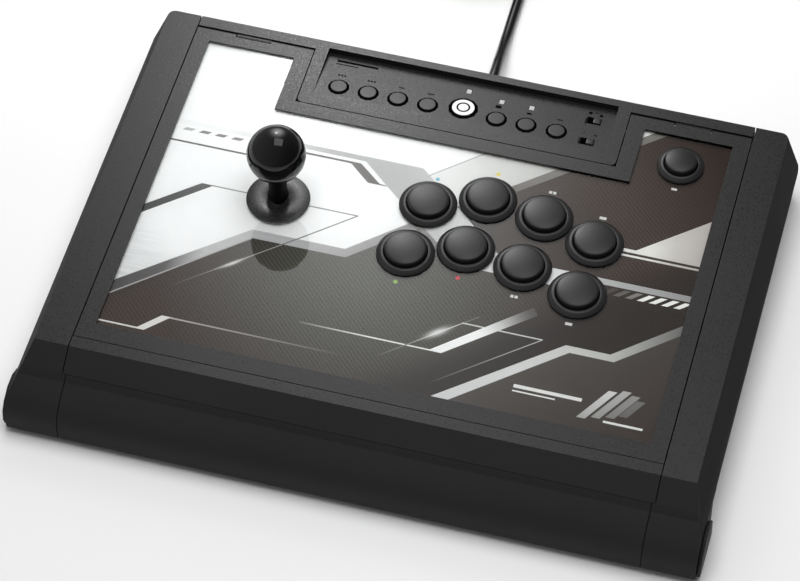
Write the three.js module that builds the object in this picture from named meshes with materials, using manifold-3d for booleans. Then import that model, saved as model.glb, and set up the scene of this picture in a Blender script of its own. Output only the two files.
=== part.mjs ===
// Tabletop arcade fight-stick controller.
// Units are millimetres. +X is to the player's right, +Y is away from the player, +Z is up.
// The origin is on the table, at the centre of the case's footprint.
import * as THREE from 'three';
import { mergeVertices } from 'three/addons/utils/BufferGeometryUtils.js';
import { ConvexGeometry } from 'three/addons/geometries/ConvexGeometry.js';
import Module from 'manifold-3d';

const wasm = await Module();
wasm.setup();

// ---------------------------------------------------------------- driving dimensions
const PANEL_Z = 48.5;            // top of the lid bezel above the table
const CASE_FLOOR_Z = 2.5;        // underside of the case, above the rubber strips
const TOP_HALF_W = 194.9;        // half width of the flat top
const SIDE_HALF_W = 203.8;       // half width where the slanted side ends
const SLANT_DROP = 20;           // height of the slanted side
const CASE_BACK_Y = 149;
const CASE_FRONT_Y = -149;
const COVER_EDGE_Z = 24.5;       // lower edge of the side covers behind the front leg
const WALL = 2.5;

const LID_HALF_W = 173.95;       // lid outline
const LID_BACK_Y = 141.1;
const LID_FRONT_Y = -105.7;
const LID_BOTTOM_Z = 42.0;
const NOTCH_HALF_W = 99.5;       // notch of the lid round the control deck
const NOTCH_Y = 97.5;
const HINGE_Y = 139.2;
const HINGE_Z = 46.6;
const HINGE_R = 1.9;

const OPEN_HALF_W = 163.9;       // visible opening of the bezel
const OPEN_BACK_Y = 130.6;
const OPEN_FRONT_Y = -94.1;
const OPEN_NOTCH_HALF_W = 110;
const OPEN_NOTCH_Y = 88.3;
const LIP_Z = 47.6;              // underside of the bezel lip
const WINDOW_TOP_Z = 47.3, WINDOW_LOW_Z = 45.3;
const SHEET_TOP_Z = 45.0, SHEET_LOW_Z = 44.5;
const PLATE_TOP_Z = 44.2, PLATE_LOW_Z = 42.2;

const DECK_HALF_W = 98.9;        // control deck inside the lid's notch
const DECK_FRONT_Y = 98.0;
const DECK_LOW_Z = 38.0;
const STRIP_HALF_W = 91;         // sunk strip in the deck
const STRIP_FRONT_Y = 106.3;
const STRIP_BACK_Y = 144.0;
const STRIP_SLOPE = 4.2 / 37.7;  // floor of the strip falls towards the back

// main buttons: centre x, y
const MAIN = {
  a1: [-1.4, 41.3], a2: [32.1, 53.6], a3: [67.5, 48.9], a4: [100.6, 37.8],
  b1: [-4.9, 2.5], b2: [28.6, 14.4], b3: [64.0, 9.7], b4: [99.4, -1.6],
};
const OPTION = [136.7, 109.0];   // 24 mm button
const LEVER = [-88.4, 22.5];
const PIVOT_Z = 33.5;
const BALL_Z = 89.0, BALL_R = 17.5;

const SMALL = { s1: -77.4, s2: -58.8, s3: -40.2, s4: -21.5, s5: 21.4, s6: 39.9, s7: 58.7 };
const SMALL_Y = 115.9;
const HOME = [0, 119.2];
const LIGHTS = [[-0.2, 134.7], [21.1, 131.4], [39.8, 131.4]];
const SWITCHES = [[78.6, 131.0], [78.4, 112.5]];

const CABLE_R = 3.3;
const COIL = [-38.2, 304], COIL_MEAN_R = 34, COIL_HALF = 10.2, COIL_TOP = 27.2;

// front profile of the case in the YZ plane, from the top edge to the underside
const FRONT = [
  [-113.6, 48.5], [-126.6, 39.4], [-130.2, 35.2], [-135.4, 32.9], [-140.0, 29.8], [-144.2, 26.6],
  [-147.2, 22.6], [-148.8, 17.6], [-149.0, 12.5], [-149.0, 6.2], [-147.6, 3.4], [-146.0, 2.5],
];

// ---------------------------------------------------------------- solids
function toManifold(geometry) {
  let g = geometry.index ? geometry.toNonIndexed() : geometry.clone();
  for (const name of Object.keys(g.attributes)) if (name !== 'position') g.deleteAttribute(name);
  g = mergeVertices(g, 1e-4);
  const p = g.attributes.position.array, src = g.index.array;
  const tri = [];
  let vol = 0;
  for (let i = 0; i < src.length; i += 3) {
    const [a, b, c] = [src[i], src[i + 1], src[i + 2]];
    if (a === b || b === c || a === c) continue;
    tri.push(a, b, c);
    vol += p[3 * a] * (p[3 * b + 1] * p[3 * c + 2] - p[3 * b + 2] * p[3 * c + 1])
      - p[3 * a + 1] * (p[3 * b] * p[3 * c + 2] - p[3 * b + 2] * p[3 * c])
      + p[3 * a + 2] * (p[3 * b] * p[3 * c + 1] - p[3 * b + 1] * p[3 * c]);
  }
  if (vol < 0) for (let i = 0; i < tri.length; i += 3) [tri[i], tri[i + 1]] = [tri[i + 1], tri[i]];
  return new wasm.Manifold(new wasm.Mesh({
    numProp: 3, vertProperties: new Float32Array(p), triVerts: new Uint32Array(tri),
  }));
}

function toGeometry(solid) {
  const m = solid.getMesh();
  const g = new THREE.BufferGeometry();
  g.setAttribute('position', new THREE.BufferAttribute(new Float32Array(m.vertProperties), 3));
  g.setIndex(new THREE.BufferAttribute(new Uint32Array(m.triVerts), 1));
  g.computeVertexNormals();
  return g;
}

const box = (x0, x1, y0, y1, z0, z1) => {
  const g = new THREE.BoxGeometry(x1 - x0, y1 - y0, z1 - z0);
  g.translate((x0 + x1) / 2, (y0 + y1) / 2, (z0 + z1) / 2);
  return toManifold(g);
};

const extrude = (points, depth) => new THREE.ExtrudeGeometry(
  new THREE.Shape(points.map(([a, b]) => new THREE.Vector2(a, b))), { depth, bevelEnabled: false });

// an outline in the XY plane, from z0 to z1
const slabXY = (points, z0, z1) => toManifold(extrude(points, z1 - z0).translate(0, 0, z0));

// an outline of (y, z) points, from x0 to x1
const slabYZ = (points, x0, x1) => {
  const g = extrude(points, x1 - x0);
  g.applyMatrix4(new THREE.Matrix4().set(0, 0, 1, x0, 1, 0, 0, 0, 0, 1, 0, 0, 0, 0, 0, 1));
  return toManifold(g);
};

// an outline of (x, z) points, from y0 to y1
const slabXZ = (points, y0, y1) => {
  const g = extrude(points, y1 - y0);
  g.applyMatrix4(new THREE.Matrix4().set(1, 0, 0, 0, 0, 0, 1, y0, 0, 1, 0, 0, 0, 0, 0, 1));
  return toManifold(g);
};

// a round post whose flats lie on the radius r
const post = (x, y, z0, z1, r, n = 16) => {
  const g = new THREE.CylinderGeometry(r / Math.cos(Math.PI / n), r / Math.cos(Math.PI / n), z1 - z0, n);
  g.rotateX(Math.PI / 2).translate(x, y, (z0 + z1) / 2);
  return toManifold(g);
};

// a turned piece about Z: points are (radius, z)
const turned = (points, x, y, n = 16) => {
  const g = new THREE.LatheGeometry(points.map(([r, z]) => new THREE.Vector2(r, z)), n);
  g.rotateX(Math.PI / 2).translate(x, y, 0);
  return toManifold(g);
};

// rounded rectangle outline, corner order from front-left, counter-clockwise
function rounded(x0, x1, y0, y1, radii, n = 4) {
  const out = [];
  const corner = (cx, cy, r, a0) => {
    if (r <= 0) { out.push([cx, cy]); return; }
    for (let i = 0; i <= n; i++) {
      const a = a0 + (Math.PI / 2) * (i / n);
      out.push([cx + r * Math.cos(a), cy + r * Math.sin(a)]);
    }
  };
  const [fl, fr, br, bl] = radii;
  corner(x0 + fl, y0 + fl, fl, Math.PI);
  corner(x1 - fr, y0 + fr, fr, -Math.PI / 2);
  corner(x1 - br, y1 - br, br, 0);
  corner(x0 + bl, y1 - bl, bl, Math.PI / 2);
  return out;
}

const parts = [];
function add(name, solid, colour, roughness, metalness = 0) {
  const mesh = new THREE.Mesh(toGeometry(solid), new THREE.MeshStandardMaterial({ color: colour, roughness, metalness }));
  mesh.name = name;
  parts.push(mesh);
  return mesh;
}

// ---------------------------------------------------------------- body envelope
// Flat top, sides that slant outwards, rounded rear corners.
function envelope(inset) {
  const pts = [];
  const ring = (w, r, z) => {
    for (const [x, y] of rounded(-w + inset, w - inset, -170, CASE_BACK_Y - inset, [0, 0, r, r])) pts.push(new THREE.Vector3(x, y, z));
  };
  ring(TOP_HALF_W, 4.5, PANEL_Z - inset);
  ring(SIDE_HALF_W, 9, PANEL_Z - SLANT_DROP);
  ring(SIDE_HALF_W, 9, -5);
  return toManifold(new ConvexGeometry(pts));
}
const offsetFront = (d) => {
  const out = [];
  for (let i = 0; i < FRONT.length; i++) {
    const a = FRONT[Math.max(0, i - 1)], b = FRONT[Math.min(FRONT.length - 1, i + 1)];
    const ty = b[0] - a[0], tz = b[1] - a[1], l = Math.hypot(ty, tz);
    // travel is forward and down, so the inward side is (-tz, ty)
    out.push([FRONT[i][0] - (tz / l) * d, FRONT[i][1] + (ty / l) * d]);
  }
  return out;
};
const frontSolid = (d) => {
  const line = offsetFront(d);
  const topZ = PANEL_Z - d;
  const pts = [[CASE_BACK_Y - d, -10], [CASE_BACK_Y - d, topZ]];
  const start = line[0][1] > topZ ? line.slice(1) : line;
  // meet the flat top
  const a = line[0], b = line[1];
  const t = (topZ - a[1]) / (b[1] - a[1]);
  pts.push([a[0] + t * (b[0] - a[0]), topZ]);
  for (const p of start) if (p[1] < topZ - 0.01) pts.push(p);
  const last = pts[pts.length - 1];
  pts.push([last[0], -10]);
  return slabYZ(pts, -230, 230);
};
const outer = envelope(0).intersect(frontSolid(0));
const inner = envelope(WALL).intersect(frontSolid(WALL));
const shell = outer.subtract(inner);

// ---------------------------------------------------------------- case
{
  // tray: floor under everything, walls behind the front leg of the side covers
  const plan = rounded(-202.3, 202.3, -89, 146.3, [0.5, 0.5, 8, 8], 3);
  const planIn = rounded(-198.4, 198.4, -101, 143.3, [1, 1, 5, 5], 3);
  let tray = slabXY(plan, CASE_FLOOR_Z, 24.0).add(box(-200.9, 200.9, -104, -88, CASE_FLOOR_Z, 24.0));
  tray = tray.subtract(slabXY(planIn, CASE_FLOOR_Z + 2.5, 30));
  tray = tray.add(box(-198.5, 198.5, -141.0, -103.5, CASE_FLOOR_Z, CASE_FLOOR_Z + 2.5));
  // standoffs of the main board
  for (const [x, y] of [[26, 66], [114, 66], [26, 114], [114, 114]]) tray = tray.add(post(x, y, 4.5, 9.0, 3, 8));
  // cable outlet
  tray = tray.subtract(box(0.5, 9.5, 140, 150, 9.5, 18.5));
  add('base_tray', tray, 0x141415, 0.7);
}
for (const [name, y0, y1] of [['foot_strip_front', -137, -121], ['foot_strip_rear', 118, 134]]) {
  add(name, slabXY(rounded(-165, 165, y0, y1, [4, 4, 4, 4], 2), 0, 2.2), 0x101010, 0.9);
}

// side covers: shell outside the lid, open below, with an inner wall beside the lid.
for (const s of [-1, 1]) {
  const region = (s < 0 ? (x0, x1, ...r) => box(-x1, -x0, ...r) : box);
  // keep the part outside the seams
  const keepTop = region(174.6, 230, -160, 160, 20, 60);
  const keepFront = region(172.6, 230, -160, -104, -5, 38.6);
  let cover = shell.intersect(keepTop.add(keepFront));
  // lower edge behind the front leg
  const arch = [[-104.0, -6], [-104.0, CASE_FLOOR_Z], [-101, 12], [-96.5, 20], [-91, COVER_EDGE_Z], [170, COVER_EDGE_Z], [170, -6]];
  cover = cover.subtract(slabYZ(arch, -230, 230));
  cover = cover.subtract(box(-230, 230, -170, 170, -12, CASE_FLOOR_Z));
  // inner wall beside the lid and beside the front cover
  const wall = region(174.6, 177.0, -107, CASE_BACK_Y - 2, 28, 47).add(region(172.9, 175.2, -124, -104, 8, 38));
  const lower = region(172.6, 175.0, -141, -104, 5.4, 33).intersect(inner);
  cover = cover.add(wall.intersect(outer)).add(lower);
  const list = cover.decompose();
  list.sort((p, q) => q.volume() - p.volume());
  add(s < 0 ? 'left_side_cover' : 'right_side_cover', list[0], 0x2a2a2b, 0.62);
}

// top frame: rear strip, control deck, ledges under the lid and the front rail, one moulding
{
  let f = shell.intersect(box(-174.0, 174.0, 141.45, 160, 24.5, 60));
  f = f.add(box(-174.0, 174.0, 141.45, CASE_BACK_Y - 1, 38.0, PANEL_Z));
  // front rail and the strip in front of it
  f = f.add(shell.intersect(box(-174.0, 174.0, -127.0, -106.1, 39.0, 60)));
  f = f.add(box(-174.0, 174.0, -113.0, -106.1, 41.3, PANEL_Z - 1).intersect(outer));
  f = f.add(box(-172.3, 172.3, -113.0, -106.1, 37.0, 42).intersect(outer));
  // ledges under the long sides of the lid
  for (const s of [-1, 1]) f = f.add(box(Math.min(s * 167, s * 172.3), Math.max(s * 167, s * 172.3), -108, 143, 37.0, 41.0));
  // control deck
  const deck = slabXY(rounded(-DECK_HALF_W, DECK_HALF_W, DECK_FRONT_Y, 143, [3, 3, 0, 0], 3), DECK_LOW_Z, PANEL_Z);
  f = f.add(deck);
  const zf = (y) => PANEL_Z - STRIP_SLOPE * (y - STRIP_FRONT_Y);
  f = f.subtract(slabYZ([[STRIP_FRONT_Y, PANEL_Z], [STRIP_BACK_Y, zf(STRIP_BACK_Y)], [STRIP_BACK_Y, 60], [STRIP_FRONT_Y, 60]], -STRIP_HALF_W, STRIP_HALF_W));
  for (const x of Object.values(SMALL)) f = f.subtract(post(x, SMALL_Y, 30, 60, 6.4, 12));
  f = f.subtract(post(HOME[0], HOME[1], 30, 60, 8.9, 12));
  for (const [x, y] of SWITCHES) f = f.subtract(box(x - 4.4, x + 4.4, y - 2.9, y + 2.9, 30, 60));
  for (const [x, y] of LIGHTS) f = f.subtract(box(x - 1.8, x + 1.8, y - 1.8, y + 1.8, 30, 60));
  // hinge knuckles
  for (const s of [-1, 1]) {
    const x0 = s > 0 ? 127.0 : -148.8, x1 = s > 0 ? 148.8 : -127.0;
    const g = new THREE.CylinderGeometry(1.25, 1.25, x1 - x0, 12);
    g.rotateZ(Math.PI / 2).translate((x0 + x1) / 2, HINGE_Y, HINGE_Z);
    f = f.add(toManifold(g)).add(box(x0, x1, HINGE_Y, 142.5, HINGE_Z - 1.0, HINGE_Z + 1.0));
    const bore = new THREE.CylinderGeometry(0.8, 0.8, x1 - x0 + 2, 8);
    bore.rotateZ(Math.PI / 2).translate((x0 + x1) / 2, HINGE_Y, HINGE_Z);
    f = f.subtract(toManifold(bore));
  }
  // outlet above the cable
  f = f.subtract(box(-0.2, 10.2, 140, 152, 20, 24.6));
  add('top_frame', f, 0x2c2c2d, 0.62);
}

// front cover between the side covers
{
  let c = shell.intersect(box(-172.3, 172.3, -160, -104, -5, 38.6));
  c = c.subtract(box(-230, 230, -170, 170, -12, CASE_FLOOR_Z));
  const list = c.decompose();
  list.sort((p, q) => q.volume() - p.volume());
  add('front_cover', list[0], 0x232324, 0.6);
}

// end plates low on the front leg
for (const s of [-1, 1]) {
  const p = [[-113.2, 3.0], [-114.6, 17.0], [-119.0, 22.8], [-126.0, 26.3], [-135.0, 26.0], [-142.6, 21.8], [-146.6, 16.6], [-147.6, 9.6], [-146.2, 4.6], [-143.6, 3.0]];
  const x0 = s > 0 ? 204.1 : -206.3, x1 = s > 0 ? 206.3 : -204.1;
  add(s < 0 ? 'left_end_plate' : 'right_end_plate', slabYZ(p, x0, x1), 0x262627, 0.55);
}

// ---------------------------------------------------------------- lid
const notched = (hw, y0, y1, nw, ny) => [[-hw, y0], [hw, y0], [hw, y1], [nw, y1], [nw, ny], [-nw, ny], [-nw, y1], [-hw, y1]];
{
  let lid = slabXY(notched(LID_HALF_W, LID_FRONT_Y, LID_BACK_Y, NOTCH_HALF_W, NOTCH_Y), LID_BOTTOM_Z, PANEL_Z);
  // opening with a lip, pocket below it
  lid = lid.subtract(slabXY(notched(OPEN_HALF_W, OPEN_FRONT_Y, OPEN_BACK_Y, OPEN_NOTCH_HALF_W, OPEN_NOTCH_Y), 30, 60));
  lid = lid.subtract(slabXY(notched(OPEN_HALF_W + 3, OPEN_FRONT_Y - 3, OPEN_BACK_Y + 3, OPEN_NOTCH_HALF_W - 3, OPEN_NOTCH_Y + 3), 30, LIP_Z));
  // round rear edge about the hinge axis
  const round = [];
  for (let i = 0; i <= 6; i++) {
    const a = (Math.PI / 2) * (1 - i / 6);
    round.push([HINGE_Y + HINGE_R * Math.cos(a), HINGE_Z + HINGE_R * Math.sin(a)]);
  }
  const cutter = slabYZ([...round.slice().reverse(), [HINGE_Y, 55], [150, 55], [150, HINGE_Z]], -180, 180);
  lid = lid.subtract(cutter);
  lid = lid.subtract(slabYZ([[HINGE_Y + 0.4, 41], [150, 41], [150, 44.4], [LID_BACK_Y + 0.01, 44.4]], -180, 180));
  for (const s of [-1, 1]) {
    lid = lid.subtract(box(s > 0 ? 126.6 : -149.2, s > 0 ? 149.2 : -126.6, HINGE_Y - 1.5, 150, 30, 60));
    const bore = new THREE.CylinderGeometry(0.85, 0.85, 31, 8);
    bore.rotateZ(Math.PI / 2).translate(s * 137.9, HINGE_Y, HINGE_Z);
    lid = lid.subtract(toManifold(bore));
  }
  add('lid_frame', lid, 0x2c2c2d, 0.62);
}
for (const s of [-1, 1]) {
  const g = new THREE.CylinderGeometry(0.55, 0.55, 29, 8);
  g.rotateZ(Math.PI / 2).translate(s * 137.9, HINGE_Y, HINGE_Z);
  add(s < 0 ? 'hinge_pin_left' : 'hinge_pin_right', toManifold(g), 0x9a9a9a, 0.3, 1);
}

// window, artwork sheet and control plate share one outline and one hole pattern
const sheetLike = (grow, z0, z1) => {
  let s = slabXY(notched(OPEN_HALF_W + grow, OPEN_FRONT_Y - grow, OPEN_BACK_Y + grow, OPEN_NOTCH_HALF_W - grow, OPEN_NOTCH_Y + grow), z0, z1);
  for (const [x, y] of Object.values(MAIN)) s = s.subtract(post(x, y, 30, 60, 15.1));
  s = s.subtract(post(...OPTION, 30, 60, 12.1));
  return s.subtract(post(...LEVER, 30, 60, 10.0));
};
add('window', sheetLike(2.6, WINDOW_LOW_Z, WINDOW_TOP_Z), 0xdde2e4, 0.05);
add('art_sheet', sheetLike(2.6, SHEET_LOW_Z, SHEET_TOP_Z), 0x6a6560, 0.4);
add('control_plate', sheetLike(2.6, PLATE_LOW_Z, PLATE_TOP_Z), 0x55585a, 0.4, 0.9);

// ---------------------------------------------------------------- buttons
const bodyColour = 0x1c1d1e, capColour = 0x242526;
const buttonBody = (x, y, rim, barrel, bore, floorZ) => {
  const body = turned([[0, floorZ - 3], [barrel, floorZ - 3], [barrel, 47.6], [rim, 47.6], [rim, 48.2], [rim - 1.9, 49.7], [bore + 0.7, 50.0],
    [bore, 49.5], [bore, floorZ], [0, floorZ]], x, y);
  return body.add(box(x - 10, x + 10, y - 3.2, y + 3.2, floorZ - 11, floorZ - 2));
};
const buttonCap = (x, y, r, lowZ, topZ) => turned([[0, lowZ], [r, lowZ], [r, topZ - 0.9], [r - 1.0, topZ - 0.1], [r * 0.5, topZ + 0.7], [0, topZ + 0.9]], x, y);
for (const [key, [x, y]] of Object.entries(MAIN)) {
  add(`button_body_${key}`, buttonBody(x, y, 17.3, 14.7, 12.9, 27), bodyColour, 0.45);
  add(`button_cap_${key}`, buttonCap(x, y, 12.5, 33, 53.1), capColour, 0.5);
}
add('option_body', buttonBody(...OPTION, 14.1, 11.7, 10.1, 27), bodyColour, 0.45);
add('option_cap', buttonCap(...OPTION, 9.7, 33, 53.2), capColour, 0.5);

// ---------------------------------------------------------------- lever
{
  const [x, y] = LEVER;
  // mounting plate and bearing block
  let base = box(x - 26, x + 26, y - 47, y + 47, 40.3, 41.9).add(box(x - 31, x + 31, y - 31, y + 31, 29.6, 40.4));
  base = base.subtract(post(x, y, 20, 60, 10.3, 20));
  add('lever_base', base, 0x1a1a1b, 0.5);
  add('pivot_ring', turned([[4.6, 30.2], [9.2, 30.2], [9.2, 36.8], [4.6, 36.8], [4.6, 30.2]], x, y, 16), 0xc8c4b8, 0.4);
  add('lever_shaft', turned([[0, 8.6], [3.5, 8.6], [3.5, 85.6], [0, 85.6]], x, y, 12), 0xb9bcbe, 0.25, 1);
  add('shaft_cover', turned([[3.9, 51.4], [6.3, 51.4], [6.3, 53.3], [5.5, 53.9], [5.5, 71.6], [3.9, 71.6], [3.9, 51.4]], x, y, 16), 0x0a0a0b, 0.15);
  const ball = [[0, 86.0], [3.9, 86.0], [3.9, 72.3]];
  const a0 = Math.asin(5.6 / BALL_R);
  for (let i = 0; i <= 9; i++) {
    const a = a0 + (Math.PI - a0) * (i / 9);
    ball.push([i === 9 ? 0 : BALL_R * Math.sin(a), BALL_Z - BALL_R * Math.cos(a)]);
  }
  add('ball_top', turned(ball, x, y, 20), 0x070708, 0.06);
  add('washer_glide', turned([[11.2, 47.4], [16, 47.4], [16, 47.7], [11.2, 47.7], [11.2, 47.4]], x, y, 16), 0x202022, 0.5);
  add('dust_washer', turned([[4.7, 47.8], [18.8, 47.8], [19.05, 48.05], [18.7, 48.5], [4.7, 48.5], [4.7, 47.8]], x, y, 24), 0x0d0d0e, 0.2);
  add('actuator', turned([[3.8, 11.0], [7.5, 11.0], [7.5, 18.6], [6.6, 19.6], [3.8, 19.6], [3.8, 11.0]], x, y, 16), 0x1f1f20, 0.5);
  // centring spring
  class Helix extends THREE.Curve {
    getPoint(t, target = new THREE.Vector3()) {
      const a = t * Math.PI * 2 * 3.5;
      return target.set(x + 5.6 * Math.cos(a), y + 5.6 * Math.sin(a), 20.7 + 6.6 * t);
    }
  }
  const ring = new THREE.Shape();
  for (let i = 0; i < 5; i++) {
    const a = (i / 5) * Math.PI * 2;
    if (i === 0) ring.moveTo(0.6 * Math.cos(a), 0.6 * Math.sin(a)); else ring.lineTo(0.6 * Math.cos(a), 0.6 * Math.sin(a));
  }
  ring.closePath();
  const spring = new THREE.ExtrudeGeometry(ring, { steps: 35, bevelEnabled: false, extrudePath: new Helix() });
  add('centring_spring', toManifold(spring), 0xb0b2b4, 0.3, 1);
  // board with the four direction switches hanging from it
  let board = box(x - 24, x + 24, y - 24, y + 24, 21.0, 22.6).subtract(post(x, y, 15, 30, 12.6, 16));
  for (const [dx, dy, w, d] of [[16.2, 0, 3.2, 10], [-16.2, 0, 3.2, 10], [0, 16.2, 10, 3.2], [0, -16.2, 10, 3.2]]) {
    board = board.add(box(x + dx - w, x + dx + w, y + dy - d, y + dy + d, 11.5, 21.4));
  }
  // four legs carry the board from the bearing block
  for (const [dx, dy] of [[21, 21], [-21, 21], [21, -21], [-21, -21]]) board = board.add(post(x + dx, y + dy, 22, 29.3, 2.4, 8));
  add('lever_switch_board', board, 0x1d3a28, 0.5);
}

// ---------------------------------------------------------------- control deck pieces
const tilt = -Math.atan(STRIP_SLOPE);
const deckPiece = (geometry, x, y) => {
  const z = PANEL_Z - STRIP_SLOPE * (y - STRIP_FRONT_Y);
  geometry.applyMatrix4(new THREE.Matrix4().makeRotationX(tilt));
  geometry.translate(x, y, z);
  return toManifold(geometry);
};
const smallCap = (x, y, r) => {
  const g = new THREE.LatheGeometry([[0, -6], [r, -6], [r, 0.5], [r - 0.5, 1.0], [0, 1.15]].map(([a, b]) => new THREE.Vector2(a, b)), 16);
  g.rotateX(Math.PI / 2);
  return deckPiece(g, x, y);
};
for (const [key, x] of Object.entries(SMALL)) add(`small_cap_${key}`, smallCap(x, SMALL_Y, 5.05), 0x2b2b2c, 0.55);
add('home_cap', smallCap(...HOME, 6.9), 0xeeeeee, 0.3);
SWITCHES.forEach(([x, y], i) => {
  const g = new THREE.BoxGeometry(4.6, 4.6, 3.2);
  g.translate(1.75, 0, -0.6);
  add(`slide_switch_${i + 1}`, deckPiece(g, x, y), 0x2b2b2c, 0.55);
});
{
  let pipe = box(-2.2, 41.4, 130.8, 137.8, 33.6, 35.6);
  for (const [x, y] of LIGHTS) {
    const z = PANEL_Z - STRIP_SLOPE * (y - STRIP_FRONT_Y);
    pipe = pipe.add(box(x - 1.5, x + 1.5, y - 1.5, y + 1.5, 34.5, z - 0.05));
  }
  add('light_pipe', pipe, 0xe6e6e6, 0.3);
}
add('control_board', box(-88, 88, 104, 140, 30.8, 32.4), 0x1d4a30, 0.5);
add('main_board', box(20, 120, 60, 120, 9.3, 10.9).add(box(30, 50, 100, 114, 10.8, 14)).add(box(70, 84, 74, 88, 10.8, 12.4)), 0x1d4a30, 0.5);

// ---------------------------------------------------------------- cable
{
  const relief = new THREE.LatheGeometry([[3.6, 0], [5.6, 0], [5.6, 4], [5.1, 4.6], [4.9, 9], [3.9, 30], [3.6, 30], [3.6, 0]].map(([a, b]) => new THREE.Vector2(a, b)), 12);
  // its axis runs along +Y from inside the rear wall
  const solid = relief.translate(5, 145.2, 14);
  let r = toManifold(solid);
  // groove that the rear wall of the tray sits in
  add('strain_relief', r.subtract(box(-5, 15, 142, 146.6, 3, 30).subtract(box(0.8, 9.2, 142, 146.6, 9.8, 18.2))), 0x111112, 0.6);
}
const route = [[5, 175.6, 14], [4.9, 181, 13.6], [4.6, 188, 12.3], [4.2, 196, 10.1], [3.7, 205, 7.3], [3.2, 214, 5.0], [2.9, 224, 3.75], [2.7, 236, 3.42], [2.6, 252, 3.4], [2.6, 276, 3.4]];
{
  const curve = new THREE.CatmullRomCurve3(route.map((p) => new THREE.Vector3(...p)), false, 'centripetal');
  const ring = new THREE.Shape();
  for (let i = 0; i < 8; i++) {
    const a = (i / 8) * Math.PI * 2;
    if (i === 0) ring.moveTo(CABLE_R * Math.cos(a), CABLE_R * Math.sin(a)); else ring.lineTo(CABLE_R * Math.cos(a), CABLE_R * Math.sin(a));
  }
  ring.closePath();
  add('cable_lead', toManifold(new THREE.ExtrudeGeometry(ring, { steps: 18, bevelEnabled: false, extrudePath: curve })), 0x101011, 0.5);
}
{
  const [a, b] = [COIL_MEAN_R - COIL_HALF, COIL_MEAN_R + COIL_HALF];
  const coil = turned([[a, 0.05], [b, 0.05], [b, COIL_TOP], [a, COIL_TOP], [a, 0.05]], ...COIL, 32);
  add('cable_coil', coil, 0x101011, 0.5);
}
{
  // plug lying on top of the coil
  const y = COIL[1] + 22;
  const x1 = COIL[0] + 13;
  add('usb_plug', box(x1 - 30, x1, y - 6, y + 6, COIL_TOP + 0.3, COIL_TOP + 8.3).add(box(x1 - 44, x1 - 29, y - 6, y + 6, COIL_TOP + 2.0, COIL_TOP + 6.5)), 0x151516, 0.5);
}

const model = new THREE.Group();
for (const mesh of parts) model.add(mesh);
export default model;
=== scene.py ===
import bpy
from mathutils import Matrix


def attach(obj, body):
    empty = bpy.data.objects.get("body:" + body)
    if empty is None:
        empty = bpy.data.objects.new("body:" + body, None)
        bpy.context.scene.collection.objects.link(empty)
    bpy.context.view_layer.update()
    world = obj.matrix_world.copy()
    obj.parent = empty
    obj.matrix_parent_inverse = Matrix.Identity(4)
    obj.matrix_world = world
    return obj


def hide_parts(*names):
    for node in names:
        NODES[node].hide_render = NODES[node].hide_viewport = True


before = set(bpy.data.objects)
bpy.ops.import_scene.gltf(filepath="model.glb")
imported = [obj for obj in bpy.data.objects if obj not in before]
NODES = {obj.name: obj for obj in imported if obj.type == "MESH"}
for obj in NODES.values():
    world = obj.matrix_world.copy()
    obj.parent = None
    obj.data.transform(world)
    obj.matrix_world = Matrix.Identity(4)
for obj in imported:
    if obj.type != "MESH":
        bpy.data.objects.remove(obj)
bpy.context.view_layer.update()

import math
import bmesh
import bpy
from mathutils import Matrix, Vector, noise

MM = 0.001
SCENE = bpy.context.scene
SCENE.view_settings.view_transform = "Standard"

# ------------------------------------------------------------------ dimensions shared with the CAD model, mm
PANEL_Z = 48.5
STRIP_FRONT_Y, STRIP_SLOPE = 106.3, 4.2 / 37.7
MAIN = {"a1": (-1.4, 41.3), "a2": (32.1, 53.6), "a3": (67.5, 48.9), "a4": (100.6, 37.8),
        "b1": (-4.9, 2.5), "b2": (28.6, 14.4), "b3": (64.0, 9.7), "b4": (99.4, -1.6)}
OPTION = (136.7, 109.0)
LEVER = (-88.4, 22.5)
SMALL = {"s1": -77.4, "s2": -58.8, "s3": -40.2, "s4": -21.5, "s5": 21.4, "s6": 39.9, "s7": 58.7}
SMALL_Y = 115.9
HOME = (0, 119.2)
SWITCHES = ((78.6, 131.0), (78.4, 112.5))
COIL = (-38.2, 304.0)


def strip_z(y):
    return PANEL_Z - STRIP_SLOPE * (y - STRIP_FRONT_Y)


# ------------------------------------------------------------------ camera
cam_data = bpy.data.cameras.new("camera")
cam_data.sensor_fit = "HORIZONTAL"
cam_data.sensor_width = 36.0
cam_data.lens = 161.1865
cam_data.clip_start, cam_data.clip_end = 0.05, 60
camera = bpy.data.objects.new("camera", cam_data)
SCENE.collection.objects.link(camera)
right = Vector((0.96564923, 0.25984371, -0.00167829))
up = Vector((-0.20529128, 0.76684543, 0.60811477))
back = Vector((0.15930179, -0.58688102, 0.79384735))
turn = Matrix((right, up, back)).transposed().to_4x4()
camera.matrix_world = Matrix.Translation((0.3310146, -1.2476127, 1.7012315)) @ turn
SCENE.camera = camera


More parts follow.
